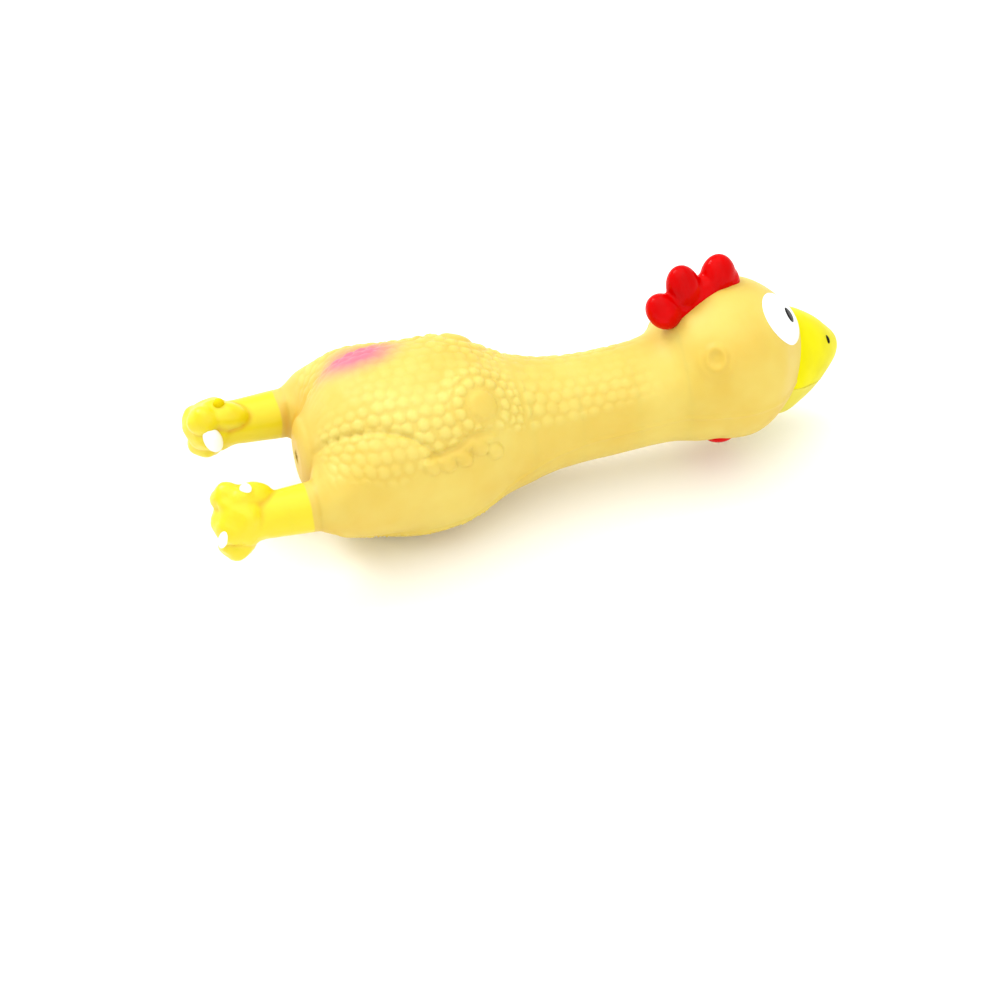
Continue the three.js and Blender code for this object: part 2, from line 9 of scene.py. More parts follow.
import bpy
import numpy as np
from bpy.props import FloatProperty, FloatVectorProperty, IntProperty, PointerProperty
from mathutils import Euler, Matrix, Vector


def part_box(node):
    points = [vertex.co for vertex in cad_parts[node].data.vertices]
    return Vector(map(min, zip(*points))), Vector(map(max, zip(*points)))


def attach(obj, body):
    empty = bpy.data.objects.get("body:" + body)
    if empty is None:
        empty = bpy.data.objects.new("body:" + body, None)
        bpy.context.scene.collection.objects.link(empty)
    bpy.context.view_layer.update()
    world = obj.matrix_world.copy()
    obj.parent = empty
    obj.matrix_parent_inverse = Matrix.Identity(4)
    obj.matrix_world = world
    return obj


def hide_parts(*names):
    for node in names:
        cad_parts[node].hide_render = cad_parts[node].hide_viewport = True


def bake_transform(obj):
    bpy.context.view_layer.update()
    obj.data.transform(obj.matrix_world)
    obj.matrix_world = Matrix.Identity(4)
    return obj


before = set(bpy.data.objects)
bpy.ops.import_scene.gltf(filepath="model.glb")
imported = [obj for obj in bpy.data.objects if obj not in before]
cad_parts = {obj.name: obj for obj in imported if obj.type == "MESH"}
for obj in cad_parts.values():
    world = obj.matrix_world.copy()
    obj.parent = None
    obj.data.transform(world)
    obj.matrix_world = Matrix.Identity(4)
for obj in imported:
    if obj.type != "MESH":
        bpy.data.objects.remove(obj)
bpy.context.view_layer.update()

bl_info = {
    "name": "Rubber chicken",
    "version": (1, 0, 0),
    "blender": (4, 5, 0),
    "location": "View3D > Sidebar > Chicken",
    "description": "Builds a squeaky latex rubber chicken round its packed frame",
    "category": "Object",
}

MM = 0.001
GAP = 0.3  # mm, the gap that the frame leaves between neighbouring pieces


# ---- Places read from the frame, in millimetres ----------------------------------------------------------
def corners(node):
    """Lowest and highest corner of a frame node, in millimetres, as arrays."""
    low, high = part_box(node)
    return np.array(low) / MM, np.array(high) / MM


SQUEAKER_MOUTH = 1.8  # mm, radius of the hole in the skin over the squeaker
FLANGE = 1.0  # thickness of the squeaker's flange
SEAT_X = corners("squeaker_cup")[0][0] + FLANGE + GAP
NECK_X = corners("neck_root_fold")[0][0] - GAP
RIM_X = corners("neck_head_fold")[1][0] + GAP
TORSO_LENGTH = NECK_X - SEAT_X
NECK_LENGTH = RIM_X - NECK_X
HEAD_RADIUS = 21.0
HEAD_AHEAD = 16.2  # from the neck's rim to the middle of the head
HEAD_DRIFT = 2.4  # the head lies this far to its left
HEAD_CLEARANCE = 6.8  # between the round of the head and the table
HEAD_MIDDLE = np.array([RIM_X + HEAD_AHEAD, HEAD_DRIFT, HEAD_RADIUS + HEAD_CLEARANCE])
HEAD_ANGLES = (-19, 15, 8.8)  # degrees about X, Y and Z
HEAD_TURN = np.array(Euler([math.radians(a) for a in HEAD_ANGLES], "XYZ").to_matrix())
THROAT_REACH = 0.66  # share of the way from the rim to the head's middle that the throat runs
THROAT_SIZE = 0.93  # the throat's last ring as a share of the head's radius
LEG_LOW, LEG_HIGH = corners("left_leg_shank")
LEG_OFFSET = (LEG_LOW[1] + LEG_HIGH[1]) / 2
LEG_HEIGHT = (LEG_LOW[2] + LEG_HIGH[2]) / 2
STUB_X = corners("left_hip_fold")[1][0] + GAP
FOOT_FRONT = corners("left_foot")[1][0]
FOOT_END = corners("left_foot")[0][0]
AXIS_HEIGHT = 23.2
TORSO_HALF_WIDTH = 24.6
TORSO_RISE = 25.0
TORSO_DROP = 24.6
THIGH_LENGTH = 38.7
THIGH_RADIUS = 14.0
THIGH_RISE = 0.34  # how much higher a thigh rises above its middle than it drops below
THIGH_OFFSET = 11.0
HAUNCH_AHEAD = 1.6  # from thigh to haunch, forward
HAUNCH_INWARDS = 5.0  # from thigh to haunch, towards the middle
HAUNCH_UP = 0.8  # from thigh to haunch, upwards
RUMP_RADIUS = 9.2
RUMP_LENGTH = 9.0
RUMP_OVERHANG = 0.7  # how far the rump reaches back past the squeaker
LEG_RADIUS = 6.3
PAINT_SHORT = 2.1  # how far behind the thigh the foot's paint ends
ANKLE_WAIST = 5.7  # radius
PALM_BACK = 5.2  # from the foot's front back to the middle of its palm
NECK_RADIUS = 13.7


# ---- Settings --------------------------------------------------------------------------------------------
def colour(name, description, sheet):
    """A colour property whose default is an sRGB hex value."""
    return FloatVectorProperty(
        name=name, description=description, subtype="COLOR", size=3, min=0, max=1, default=linear(sheet)
    )


def linear(sheet):
    """Linear red, green and blue of an sRGB hex value such as 'fbe46e'."""
    values = np.array([int(sheet[i : i + 2], 16) for i in (0, 2, 4)]) / 255
    return tuple(np.where(values <= 0.04045, values / 12.92, ((values + 0.055) / 1.055) ** 2.4))


def length(name, description, millimetres):
    """A length property given in millimetres."""
    return FloatProperty(
        name=name, description=description, unit="LENGTH", default=millimetres * MM, precision=5
    )


class ChickenSkinSettings(bpy.types.PropertyGroup):
    """Sizes and colours of the latex skin."""

    voxel: length("Voxel", "Grid step of the fused skin", 0.54)
    wall: length("Wall", "Thickness of the latex", 1.6)
    pebble_height: length("Pebble height", "Height of the skin's pebbles", 0.52)
    pebbles_round: IntProperty(name="Pebbles round", description="Pebbles round the body", default=46, min=12)
    # The skin's own colour, which the raised pebbles also take as a painted light.
    light: colour("Light latex", "Raised skin", "d6c664")
    # A painted shade: deeper yellow for the hollows, the creases and the gaps between pebbles.
    hollow_shade: colour("Deep latex", "Skin in hollows", "c8a024")
    blush: colour("Blush", "Airbrushed pink on the rump", "da6a7c")
    # A warm painted shade where the legs meet the rump.
    tan: colour("Tan", "Warm tint at the leg roots", "d08a3a")


class ChickenPaintSettings(bpy.types.PropertyGroup):
    """Colours painted on the latex."""

    comb: colour("Comb", "Glossy red", "ce0000")
    beak: colour("Beak", "Lemon yellow", "d9d000")
    foot: colour("Foot", "Warm lemon yellow", "d8c608")
    # A deeper yellow painted into the grooves between the toes as painted shade.
    groove: colour("Groove", "Yellow pooled between the toes", "cb9600")
    white: colour("White", "Eyes and claws", "fafaf8")
    black: colour("Black", "Pupils and nostrils", "0c0c0c")


class ChickenStageSettings(bpy.types.PropertyGroup):
    """Where the camera stands and how bright the studio is."""

    azimuth: FloatProperty(name="Azimuth", description="Camera turned round the toy", default=-16.0)
    elevation: FloatProperty(name="Elevation", description="Camera above the horizon", default=45.0)
    distance: length("Distance", "Camera to toy", 700)
    lens: FloatProperty(name="Lens", description="Focal length in millimetres", default=99.0)
    floor: colour("Floor", "Pale table", "fbfbf9")


# ---- Shape functions, millimetres ------------------------------------------------------------------------
def smooth_rows(rows, share):
    """Values between rows of [share, value, ...], by cubic pieces whose slopes at each row are the harmonic
    mean of the slopes beside it, so the curve never overshoots a row."""
    rows = np.array(rows, float)
    share = np.clip(np.atleast_1d(share), rows[0, 0], rows[-1, 0])
    step = np.diff(rows[:, 0])[:, None]
    slope = np.diff(rows[:, 1:], axis=0) / step
    before, after = slope[:-1], slope[1:]
    product = before * after
    harmonic = np.where(product > 0, 2 * product / np.where(before + after == 0, 1, before + after), 0)
    tangent = np.vstack([slope[:1], harmonic, slope[-1:]])
    i = np.clip(np.searchsorted(rows[:, 0], share, "right") - 1, 0, len(rows) - 2)
    span = step[i, 0]
    t = ((share - rows[i, 0]) / span)[:, None]
    a, b = rows[i, 1:], rows[i + 1, 1:]
    m0, m1 = tangent[i] * span[:, None], tangent[i + 1] * span[:, None]
    from_a, from_b = 2 * t**3 - 3 * t**2 + 1, 3 * t**2 - 2 * t**3
    return from_a * a + (t**3 - 2 * t**2 + t) * m0 + from_b * b + (t**3 - t**2) * m1


def step_up(value, low, high):
    """0 below low, 1 above high, and the cubic 3t^2 - 2t^3 between."""
    t = np.clip((value - low) / (high - low), 0, 1)
    return t * t * (3 - 2 * t)


def egg_tube(x, y, z, width, up, down, floor=-1e9, sides=96):
    """Rings square to X: each point is (x, y + width cos a, z + h sin a), h = up above the middle, down below
    it, and no point lies under the floor. Returned as closed (points, faces) with a pole at each end."""
    angle = np.linspace(0, 2 * np.pi, sides, endpoint=False)[None]
    columns = [np.broadcast_to(np.asarray(v, float), x.shape)[:, None] for v in (x, y, z, width, up, down)]
    x, y, z, width, up, down = columns
    height = np.where(np.sin(angle) > 0, up, down) * np.sin(angle)
    rings = np.stack([x + 0 * angle, y + width * np.cos(angle), np.maximum(z + height, floor)], -1)
    return closed_rings(rings)


def closed_rings(rings):
    """Quads between rings that follow each other, and a fan from a pole at the middle of each end ring."""
    count, sides = rings.shape[:2]
    k = np.arange(sides)
    r = np.arange(count - 1)[:, None]
    nxt = (k + 1) % sides
    quads = np.stack([r * sides + k, r * sides + nxt, (r + 1) * sides + nxt, (r + 1) * sides + k], -1)
    first, last = count * sides, count * sides + 1
    end = (count - 1) * sides
    fans = [np.stack([first + 0 * k, nxt, k], -1), np.stack([last + 0 * k, end + k, end + nxt], -1)]
    points = np.vstack([rings.reshape(-1, 3), rings[0].mean(0), rings[-1].mean(0)])
    return points, quads.reshape(-1, 4).tolist() + np.vstack(fans).tolist()


def ball(radii, middle, turn=(0, 0, 0), sides=48):
    """An ellipsoid: (rx cos p, ry sin p cos a, rz sin p sin a), turned by three angles in degrees, and
    moved."""
    p = np.linspace(np.pi, 0, sides // 2 + 1)[1:-1, None]
    a = np.linspace(0, 2 * np.pi, sides, endpoint=False)[None]
    rings = np.stack([np.cos(p) + 0 * a, np.sin(p) * np.cos(a), np.sin(p) * np.sin(a)], -1)
    points, faces = closed_rings(rings)
    points[-2:] = [[-1, 0, 0], [1, 0, 0]]
    matrix = np.array(Euler([math.radians(v) for v in turn], "XYZ").to_matrix())
    return points * np.array(radii) @ matrix.T + np.array(middle), faces


def into_toy(part):
    """Moves a part from the head's own frame, beak along X and crown along Z, into the toy's."""
    points, faces = part
    return points @ HEAD_TURN.T + HEAD_MIDDLE, faces


def narrow_face(points):
    """Head points drawn in towards the beak: up to a sixth off the cheeks and less off the brow and jaw."""
    ahead = step_up(points[:, 0], 3, 15)
    above = np.where(points[:, 2] > 0, 0.05, 0.1)
    return points * np.stack([1 + 0 * ahead, 1 - 0.16 * ahead, 1 - above * ahead], -1)


# Share of the torso's length, then height of its middle, half width, rise and drop as shares of the largest.
TORSO_SHAPE = [
    [0, 1.06, 0.31, 0.31, 0.32],
    [0.035, 1.06, 0.49, 0.48, 0.53],
    [0.105, 1.05, 0.68, 0.73, 0.74],
    [0.19, 1.03, 0.82, 0.91, 0.89],
    [0.31, 1.01, 0.93, 1.0, 0.97],
    [0.47, 1, 0.995, 1, 1],
    [0.63, 1, 0.965, 0.98, 0.97],
    [0.75, 1.01, 0.875, 0.9, 0.88],
    [0.87, 1, 0.74, 0.76, 0.76],
    [1, 0.98, 0.65, 0.64, 0.67],
]
# Share of the thigh's length, then how far its middle has moved inwards, and its radius as a share.
THIGH_SHAPE = [
    [0, 0, 0.45],
    [0.05, 0.02, 0.53],
    [0.14, 0.1, 0.66],
    [0.28, 0.42, 0.82],
    [0.45, 0.7, 0.95],
    [0.65, 1, 1],
    [0.83, 1.05, 0.9],
    [0.93, 1.1, 0.68],
    [1, 1.15, 0.3],
]
# Share of the neck's length, then height of its middle, its radius and its drift, as shares.
NECK_SHAPE = [
    [0, 0.98, 1.17, 0],
    [0.2, 0.97, 1.05, 0],
    [0.45, 0.967, 1, 0],
    [0.7, 0.985, 0.995, 0.03],
    [0.87, 1.015, 1.02, 0.1],
    [1, 1.055, 1.09, 0.25],
]


def torso_and_neck():
    """The egg-shaped tube from the squeaker seat to the head's rim, run on a little way into the head."""
    share = np.linspace(0, 1, 90)
    rise, width, up, down = smooth_rows(TORSO_SHAPE, share).T
    sizes = [TORSO_HALF_WIDTH * width, TORSO_RISE * up, TORSO_DROP * down]
    torso = np.stack([SEAT_X + share * TORSO_LENGTH, 0 * share, AXIS_HEIGHT * rise, *sizes])
    along = np.linspace(0, 1, 60)[1:]
    lift, size, drift = smooth_rows(NECK_SHAPE, along).T
    radius = NECK_RADIUS * size
    x, z = NECK_X + along * NECK_LENGTH, AXIS_HEIGHT * lift
    neck = np.stack([x, HEAD_DRIFT * drift, z, radius, radius, radius])
    over = np.linspace(0, 1, 16)[1:]
    start = neck[:, -1]
    grown = start[3] + (HEAD_RADIUS * THROAT_SIZE - start[3]) * np.sin(over * np.pi / 2)
    y = start[1] + (HEAD_DRIFT - start[1]) * over
    z = start[2] + (HEAD_MIDDLE[2] - start[2]) * over
    throat = np.stack([RIM_X + over * HEAD_AHEAD * THROAT_REACH, y, z, grown, grown, grown])
    return egg_tube(*np.hstack([torso, neck, throat]), floor=0.0, sides=128)


def rump():
    """The round end of the body between the legs, whose skin reaches back over the squeaker's flange."""
    low, high = corners("squeaker_cup")
    share = np.linspace(0, 1, 24)
    x = low[0] - RUMP_OVERHANG + share * RUMP_LENGTH
    radius = RUMP_RADIUS * np.sqrt(1 - 0.6 * (1 - np.clip(share * 4, 0, 1)) ** 2) + 3 * share
    return egg_tube(x, 0, (low[2] + high[2]) / 2, radius, radius, radius)


def thigh(side):
    """A drumstick: circles whose middle moves inwards from the leg's line to the thigh's."""
    share = np.linspace(0, 1, 70)
    inwards, size = smooth_rows(THIGH_SHAPE, share).T
    radius = THIGH_RADIUS * size
    y = side * (LEG_OFFSET + (THIGH_OFFSET - LEG_OFFSET) * inwards)
    z = LEG_HEIGHT + (AXIS_HEIGHT - LEG_HEIGHT) * inwards
    high = radius * (1 + THIGH_RISE * step_up(share, 0.05, 0.42) * (1 - step_up(share, 0.7, 1)))
    return egg_tube(STUB_X + share * THIGH_LENGTH, y, z, radius, high, radius)


def haunch(side):
    """Flesh between a thigh and the torso: the thigh's own shape again, nearer the middle and higher."""
    points, faces = thigh(side)
    kept = points[:, 0] > STUB_X
    points = points + np.array([HAUNCH_AHEAD, -side * HAUNCH_INWARDS, HAUNCH_UP]) * kept[:, None]
    return points, faces


def shank(side):
    """The leg between thigh and foot: a round bar with a waist at the ankle."""
    x = np.linspace(FOOT_FRONT - 5, STUB_X + 3, 30)
    places = [FOOT_FRONT - 1, FOOT_FRONT + 2, STUB_X - 3, STUB_X]
    radius = np.interp(x, places, [ANKLE_WAIST + 0.1, ANKLE_WAIST, LEG_RADIUS - 0.1, LEG_RADIUS])
    return egg_tube(x, side * LEG_OFFSET + 0 * x, LEG_HEIGHT + 0 * x, radius, radius, radius)


def foot_places(side):
    """Half sizes, middles and turns of a foot's palm, toes and heel pad."""
    y = side * LEG_OFFSET
    palm_x = FOOT_FRONT - PALM_BACK
    z = LEG_HEIGHT
    return [
        ((7.2, 6.6, 7.0), (palm_x, y, z + 0.6), (0, 0, 0)),
        ((7.4, 3.9, 3.8), (palm_x + 1.6, y - side * 2.0, z + 5.2), (0, 6, -side * 12)),
        ((4.8, 3.9, 4.3), (FOOT_END + 5.1, y + side * 2.8, z + 0.6), (0, 10, 0)),
        ((4.4, 3.7, 4.2), (FOOT_END + 5.4, y - side * 3.0, z + 5.4), (0, 20, 0)),
        ((4.9, 4.5, 4.9), (palm_x - 1.6, y + side * 1.4, z - 5.2), (0, 0, 0)),
    ]


# ---- Fusing and relief -----------------------------------------------------------------------------------
def fuse(parts, voxel, passes):
    """One closed skin round overlapping closed parts: a voxel remesh, then passes that move each vertex
    towards the mean of its neighbours and nearly as far back, which rounds creases but keeps size."""
    points, faces, base = [], [], 0
    for part_points, part_faces in parts:
        points.append(part_points)
        faces += [[base + i for i in face] for face in part_faces]
        base += len(part_points)
    mesh = bpy.data.meshes.new("parts")
    mesh.from_pydata(np.vstack(points).tolist(), [], faces)
    holder = linked("parts", mesh)
    remesh = holder.modifiers.new("Fuse", "REMESH")
    remesh.mode = "VOXEL"
    remesh.voxel_size = voxel
    fused = bpy.data.meshes.new_from_object(holder.evaluated_get(bpy.context.evaluated_depsgraph_get()))
    bpy.data.objects.remove(holder)
    bpy.data.meshes.remove(mesh)
    co = np.zeros(len(fused.vertices) * 3)
    fused.vertices.foreach_get("co", co)
    co = co.reshape(-1, 3)
    quads = np.zeros(len(fused.loops), int)
    fused.loops.foreach_get("vertex_index", quads)
    sides = np.zeros(len(fused.polygons), int)
    fused.polygons.foreach_get("loop_total", sides)
    assert (sides == 4).all(), "the voxel remesh gives quads only"
    quads = quads.reshape(-1, 4)
    bpy.data.meshes.remove(fused)
    return relax(co, quads, passes), quads


def edges_of(quads):
    """Each quad's four sides as vertex pairs, twice over for inner ones."""
    return np.vstack([quads[:, [0, 1]], quads[:, [1, 2]], quads[:, [2, 3]], quads[:, [3, 0]]])


def neighbour_mean(values, pairs, count):
    """Mean of a value over each vertex's neighbours."""
    total = np.stack([np.bincount(pairs[:, 0], v[pairs[:, 1]], count) for v in values.T], -1)
    total += np.stack([np.bincount(pairs[:, 1], v[pairs[:, 0]], count) for v in values.T], -1)
    met = np.bincount(pairs.ravel(), minlength=count)[:, None]
    return total / np.maximum(met, 1)


def relax(co, quads, passes):
    """Passes of smoothing by 0.6 of the way to the neighbours' mean and 0.55 back."""
    pairs = edges_of(quads)
    for _ in range(passes):
        for weight in (0.6, -0.55):
            co = co + weight * (neighbour_mean(co, pairs, len(co)) - co)
    return co


def soften(co, quads, weight, passes):
    """Fills creases where the weight is above zero: each pass moves a vertex by its weight times 0.6 of the
    way to its neighbours' mean, and the whole is then put back out by the median amount that it sank."""
    near = weight > 0
    pairs = edges_of(quads)
    pairs = pairs[near[pairs].any(1)]
    start, normals = co, normals_of(co, quads)
    for _ in range(passes):
        co = co + (0.6 * weight * near)[:, None] * (neighbour_mean(co, pairs, len(co)) - co)
    sunk = ((start - co) * normals).sum(1)
    return co + normals * (weight * np.median(sunk[weight > 0.5]))[:, None]


def normals_of(co, quads):
    """Vertex normals: the sum of the cross products of each quad's diagonals, made unit length."""
    cross = np.cross(co[quads[:, 2]] - co[quads[:, 0]], co[quads[:, 3]] - co[quads[:, 1]])
    total = np.stack([np.bincount(quads.ravel(), np.repeat(c, 4), len(co)) for c in cross.T], -1)
    return total / np.maximum(np.linalg.norm(total, axis=1, keepdims=True), 1e-12)


def hashed(*integers):
    """A repeatable random number from 0 to 1 for each set of integers."""
    mixed = sum(np.sin(np.asarray(n) * k) for n, k in zip(integers, (127.1, 311.7, 74.7)))
    return np.modf(np.abs(mixed) * 43758.5453)[0]


def body_axis():
    """Middle, half width and radius of the body and neck against X, and the length along it in radii."""
    x = np.linspace(SEAT_X - 8, HEAD_MIDDLE[0] + 30, 400)
    rise, width, up, _ = smooth_rows(TORSO_SHAPE, (x - SEAT_X) / TORSO_LENGTH).T
    lift, size, drift = smooth_rows(NECK_SHAPE, (x - NECK_X) / NECK_LENGTH).T
    on_neck = x > NECK_X
    middle_z = AXIS_HEIGHT * np.where(on_neck, lift, rise)
    middle_y = HEAD_DRIFT * np.where(on_neck, drift, 0)
    radius = np.where(on_neck, NECK_RADIUS * size, (TORSO_HALF_WIDTH * width + TORSO_RISE * up) / 2)
    run = np.concatenate([[0], np.cumsum(np.diff(x) / np.maximum(radius[1:], 9))])
    return x, middle_y, middle_z, radius, run


def round_body(co):
    """Each point's angle from straight up about the body's axis, towards +Y, its radius, and its run."""
    x, middle_y, middle_z, radius, run = body_axis()
    dy = co[:, 1] - np.interp(co[:, 0], x, middle_y)
    dz = co[:, 2] - np.interp(co[:, 0], x, middle_z)
    return np.arctan2(dy, dz), np.interp(co[:, 0], x, radius), np.interp(co[:, 0], x, run)


def pebble_dome(distance):
    """Height of a pebble from 0 to 1 at a distance counted in pebble spacings: a steep dome with bare skin
    round it."""
    return np.clip(1 - (distance / 0.47) ** 2, 0, 1) ** 0.6


def staggered_pebbles(angle, run, count):
    """Pebbles in rows along the body, every other row shifted by half a step, each moved a little by
    chance."""
    pitch = 2 * np.pi / count
    row_height = pitch * 0.92
    row = np.floor(angle / row_height)
    best = np.full(len(angle), 9.0)
    for row_step in (-1, 0, 1):
        r = row + row_step
        shift = (r % 2) * 0.5
        place = np.floor(run / pitch - shift)
        for place_step in (-1, 0, 1, 2):
            c = place + place_step
            across = angle / pitch - (r + 0.5) * row_height / pitch - (hashed(r, c, 1) - 0.5) * 0.22
            along = run / pitch - shift - c - (hashed(r, c, 2) - 0.5) * 0.3
            best = np.minimum(best, np.hypot(across, along) / (0.9 + 0.2 * hashed(r, c, 3)))
    return pebble_dome(best)


def ring_pebbles(across, along, spacing, first_ring):
    """Pebbles in rings round a point: ring k lies first_ring + k spacings out and holds a whole number."""
    rho = np.hypot(across, along)
    phi = np.arctan2(across, along)
    k = np.maximum(np.round((rho - first_ring) / spacing), 0)
    ring = first_ring + k * spacing
    held = np.round(2 * np.pi * ring / spacing)
    turn = phi * held / (2 * np.pi) + k * 0.37
    gap = turn - np.round(turn)
    return pebble_dome(np.hypot(gap * 2 * np.pi * ring / held, rho - ring) / spacing)


def dome(distance, power=2.0):
    """1 in the middle, 0 from distance 1 outwards, round between."""
    return np.sqrt(np.clip(1 - distance**power, 0, 1))


def ridge(distance, width):
    """A rounded ridge: 1 on its line, fading over its width."""
    return np.exp(-((distance / width) ** 2))


# Lines on the body's side: millimetres forward of the squeaker seat, degrees down from the back's middle.
THIGH_EDGE = [[-1, 54], [4, 41], [9, 38.5], [15, 39.5], [21, 43], [25, 49], [29, 58], [33, 70]]
PEBBLE_EDGE = [
    [-1, 80], [8, 67], [19, 70], [26, 62], [34, 55],
    [42, 49], [52, 56], [64, 59], [75, 57], [95, 50],
]
WING_GROOVE = [[25, 60], [29, 57], [34, 55], [39, 50], [44, 50]]
SEAM = [[0, 97], [8, 112], [19, 120], [40, 117], [51, 105], [62, 92], [73, 86], [97, 85], [118, 82]]
NECK_SEAM = TORSO_LENGTH - 3  # where the body's pebbles give way to the neck's finer ones
WING_BOSS = (42.5, 34.0)
WING_RINGS = 7.8  # mm round the wing's boss where the pebbles lie in rings
WING_FINGERS = [(27, 63), (31, 64), (35.5, 63), (40, 59), (44, 65)]


def line_at(line, x):
    """A side line's angle in radians at each x, joined smoothly."""
    return np.radians(smooth_rows(line, x)[:, 0])


def skin_relief(co, settings):
    """How far each vertex moves out along its normal, in millimetres, and the pebble pattern from 0 to 1.
    Pebbles cover the back, sides and upper neck; the drumsticks' lower faces, chest and head are smooth."""
    angle, radius, run = round_body(co)
    x = co[:, 0] - SEAT_X
    away = np.abs(angle)
    from_boss_x = x - WING_BOSS[0]
    from_boss_s = (away - math.radians(WING_BOSS[1])) * radius
    boss = np.hypot(from_boss_x, from_boss_s)

    body = staggered_pebbles(away, run, settings.pebbles_round)
    neck = staggered_pebbles(away, run, settings.pebbles_round * 0.6)
    rings = ring_pebbles(from_boss_s, from_boss_x, 3.1, 6.2)
    pebbles = np.where(x > NECK_SEAM, neck, np.where(boss < WING_RINGS, rings, body)) * (boss > 4.2)
    mask = pebble_mask(x, away, radius, boss)

    relief = settings.pebble_height / MM * mask * pebbles
    relief += thigh_pad(x, away, radius) + wing_relief(x, away, radius, boss)
    relief += seam_line(x, away, radius) + ear_ring(co) + knuckles(co)
    return relief, mask * pebbles


def pebble_mask(x, away, radius, boss):
    """How strong the pebbles are, from 0 to 1: none on the belly and head or along the seams between their
    kinds, faint on the middle of the back, and strongest by the thigh's crease, the wing and the neck."""
    degrees = np.degrees(away)
    seams = (1 - ridge(x - NECK_SEAM, 0.9)) * (1 - ridge(boss - WING_RINGS, 0.5))
    above_edge = (line_at(PEBBLE_EDGE, x) - away) * radius
    mask = step_up(above_edge, -0.8, 1.6) * seams
    by_crease = ridge((away - line_at(THIGH_EDGE, x)) * radius + 4.5, 6.5)
    by_wing = 1 - step_up(boss, 8, 14)
    by_neck = step_up(x, 50, 58) * step_up(degrees, 12, 30)
    back = 0.34 + 0.66 * np.clip(by_crease + by_wing + by_neck, 0, 1)
    on_thigh = (away > line_at(THIGH_EDGE, x)) & (x < 31)
    mask *= np.where(on_thigh, 0.62, back)
    rim = RIM_X - SEAT_X
    mask *= step_up(x, 1, 5) * (1 - step_up(x, rim - 15, rim - 3)) * (1 - 0.45 * step_up(x, 54, 62))
    return mask * (1 - 0.8 * (1 - step_up(x, 8, 22)) * (1 - step_up(degrees, 20, 34)))


def thigh_pad(x, away, radius):
    """The drumstick stands proud of the body: a pad whose upper edge is a round step over a narrow crease."""
    inside = (away - line_at(THIGH_EDGE, x)) * radius
    ends = step_up(x, -1, 4) * (1 - step_up(x, 25, 33))
    low = 1 - step_up(np.degrees(away), 70, 100)
    pad = 1.0 * np.sqrt(np.clip(inside / 3.6, 0, 1)) * low
    return ends * (np.where(inside > 0, pad, 0) - 0.6 * ridge(inside + 0.4, 0.8))


def wing_relief(x, away, radius, boss):
    """The folded wing: a round shoulder with a rosette in its middle, and feather fingers below a groove."""
    shoulder = 0.9 * np.clip(1 - (boss / 12.5) ** 2, 0, 1) ** 1.5
    rosette = 0.75 * dome(boss / 3.6, 3.0)
    off = (away - line_at(WING_GROOVE, x)) * radius
    ends = step_up(x, 24, 28) * (1 - step_up(x, 43, 46))
    groove = -0.7 * ridge(off, 0.9) * ends
    shelf = 0.7 * ridge(off - 2.2, 1.3) * ends
    fingers = np.zeros_like(x)
    for ahead, degrees in WING_FINGERS:
        dx = x - ahead
        ds = (away - math.radians(degrees)) * radius
        along, across = (dx + ds) * 0.707, (dx - ds) * 0.707
        fingers = np.maximum(fingers, 1.3 * dome(np.hypot(along / 2.7, across / 1.9)))
    return shoulder + rosette + groove + np.maximum(shelf, fingers)


def seam_line(x, away, radius):
    """The mould's parting line, low on the body and half way up the neck and head: a fine raised line,
    with a ragged edge of flash along the belly."""
    off = np.abs(away - line_at(SEAM, x)) * radius
    ragged = 0.55 + 0.45 * np.sin(x * 2.1) * np.sin(x * 0.83 + 1) + 0.35 * np.sin(x * 5.3)
    belly = step_up(x, 6, 14) * (1 - step_up(x, 42, 50))
    height = 0.34 + 0.6 * belly * np.clip(ragged, 0, 1)
    return height * ridge(off, 0.5) * step_up(x, 0, 4)


def ear_ring(co):
    """A low oval ring with a dimple on each side of the head."""
    local = (co - HEAD_MIDDLE) @ HEAD_TURN
    ear = np.array([-0.635, 0.716, 0.268]) * HEAD_RADIUS
    side = np.where(local[:, 1] > 0, 1.0, -1.0)
    from_ear = local - ear * np.stack([side**2, side, side**2], -1)
    rho = np.hypot(from_ear[:, 0] * 1.18, np.hypot(from_ear[:, 1] * 0.8, from_ear[:, 2] * 0.86))
    return 0.75 * ridge(rho - 2.3, 0.85) + 0.45 * ridge(rho - 4.2, 1.3) * ridge(from_ear[:, 2] + 2.5, 3.5)


def knuckles(co):
    """Uneven lumps and pits on the moulded feet."""
    x, y, z = co.T
    on_foot = 1 - step_up(x, FOOT_FRONT - 3, FOOT_FRONT + 4)
    lumps = np.sin(x * 0.8 + 0.6 * np.sin(z * 0.6)) * np.sin(y * 0.7 + 1.3) * np.cos(z * 0.75 + 0.4)
    pits = np.sin(x * 2.9 + y) * np.sin(z * 2.6 - y) * np.cos(y * 2.3)
    return on_foot * (0.4 * lumps + 0.06 * pits)


# ---- Meshes ----------------------------------------------------------------------------------------------
def linked(name, data):
    """A new object at the origin, in the scene."""
    made = bpy.data.objects.new(name, data)
    bpy.context.scene.collection.objects.link(made)
    return made


def put_mesh(name, co, faces, material, attributes=None, normals=None):
    """A named object at the origin, from points in millimetres."""
    mesh = bpy.data.meshes.new(name)
    mesh.from_pydata((co * MM).tolist(), [], faces if isinstance(faces, list) else faces.tolist())
    mesh.validate()
    mesh.polygons.foreach_set("use_smooth", np.ones(len(mesh.polygons), bool))
    for key, values in (attributes or {}).items():
        mesh.attributes.new(key, "FLOAT", "POINT").data.foreach_set("value", values.astype(np.float32))
    if normals is not None:
        mesh.normals_split_custom_set_from_vertices(normals.tolist())
    mesh.materials.append(material)
    return linked(name, mesh)


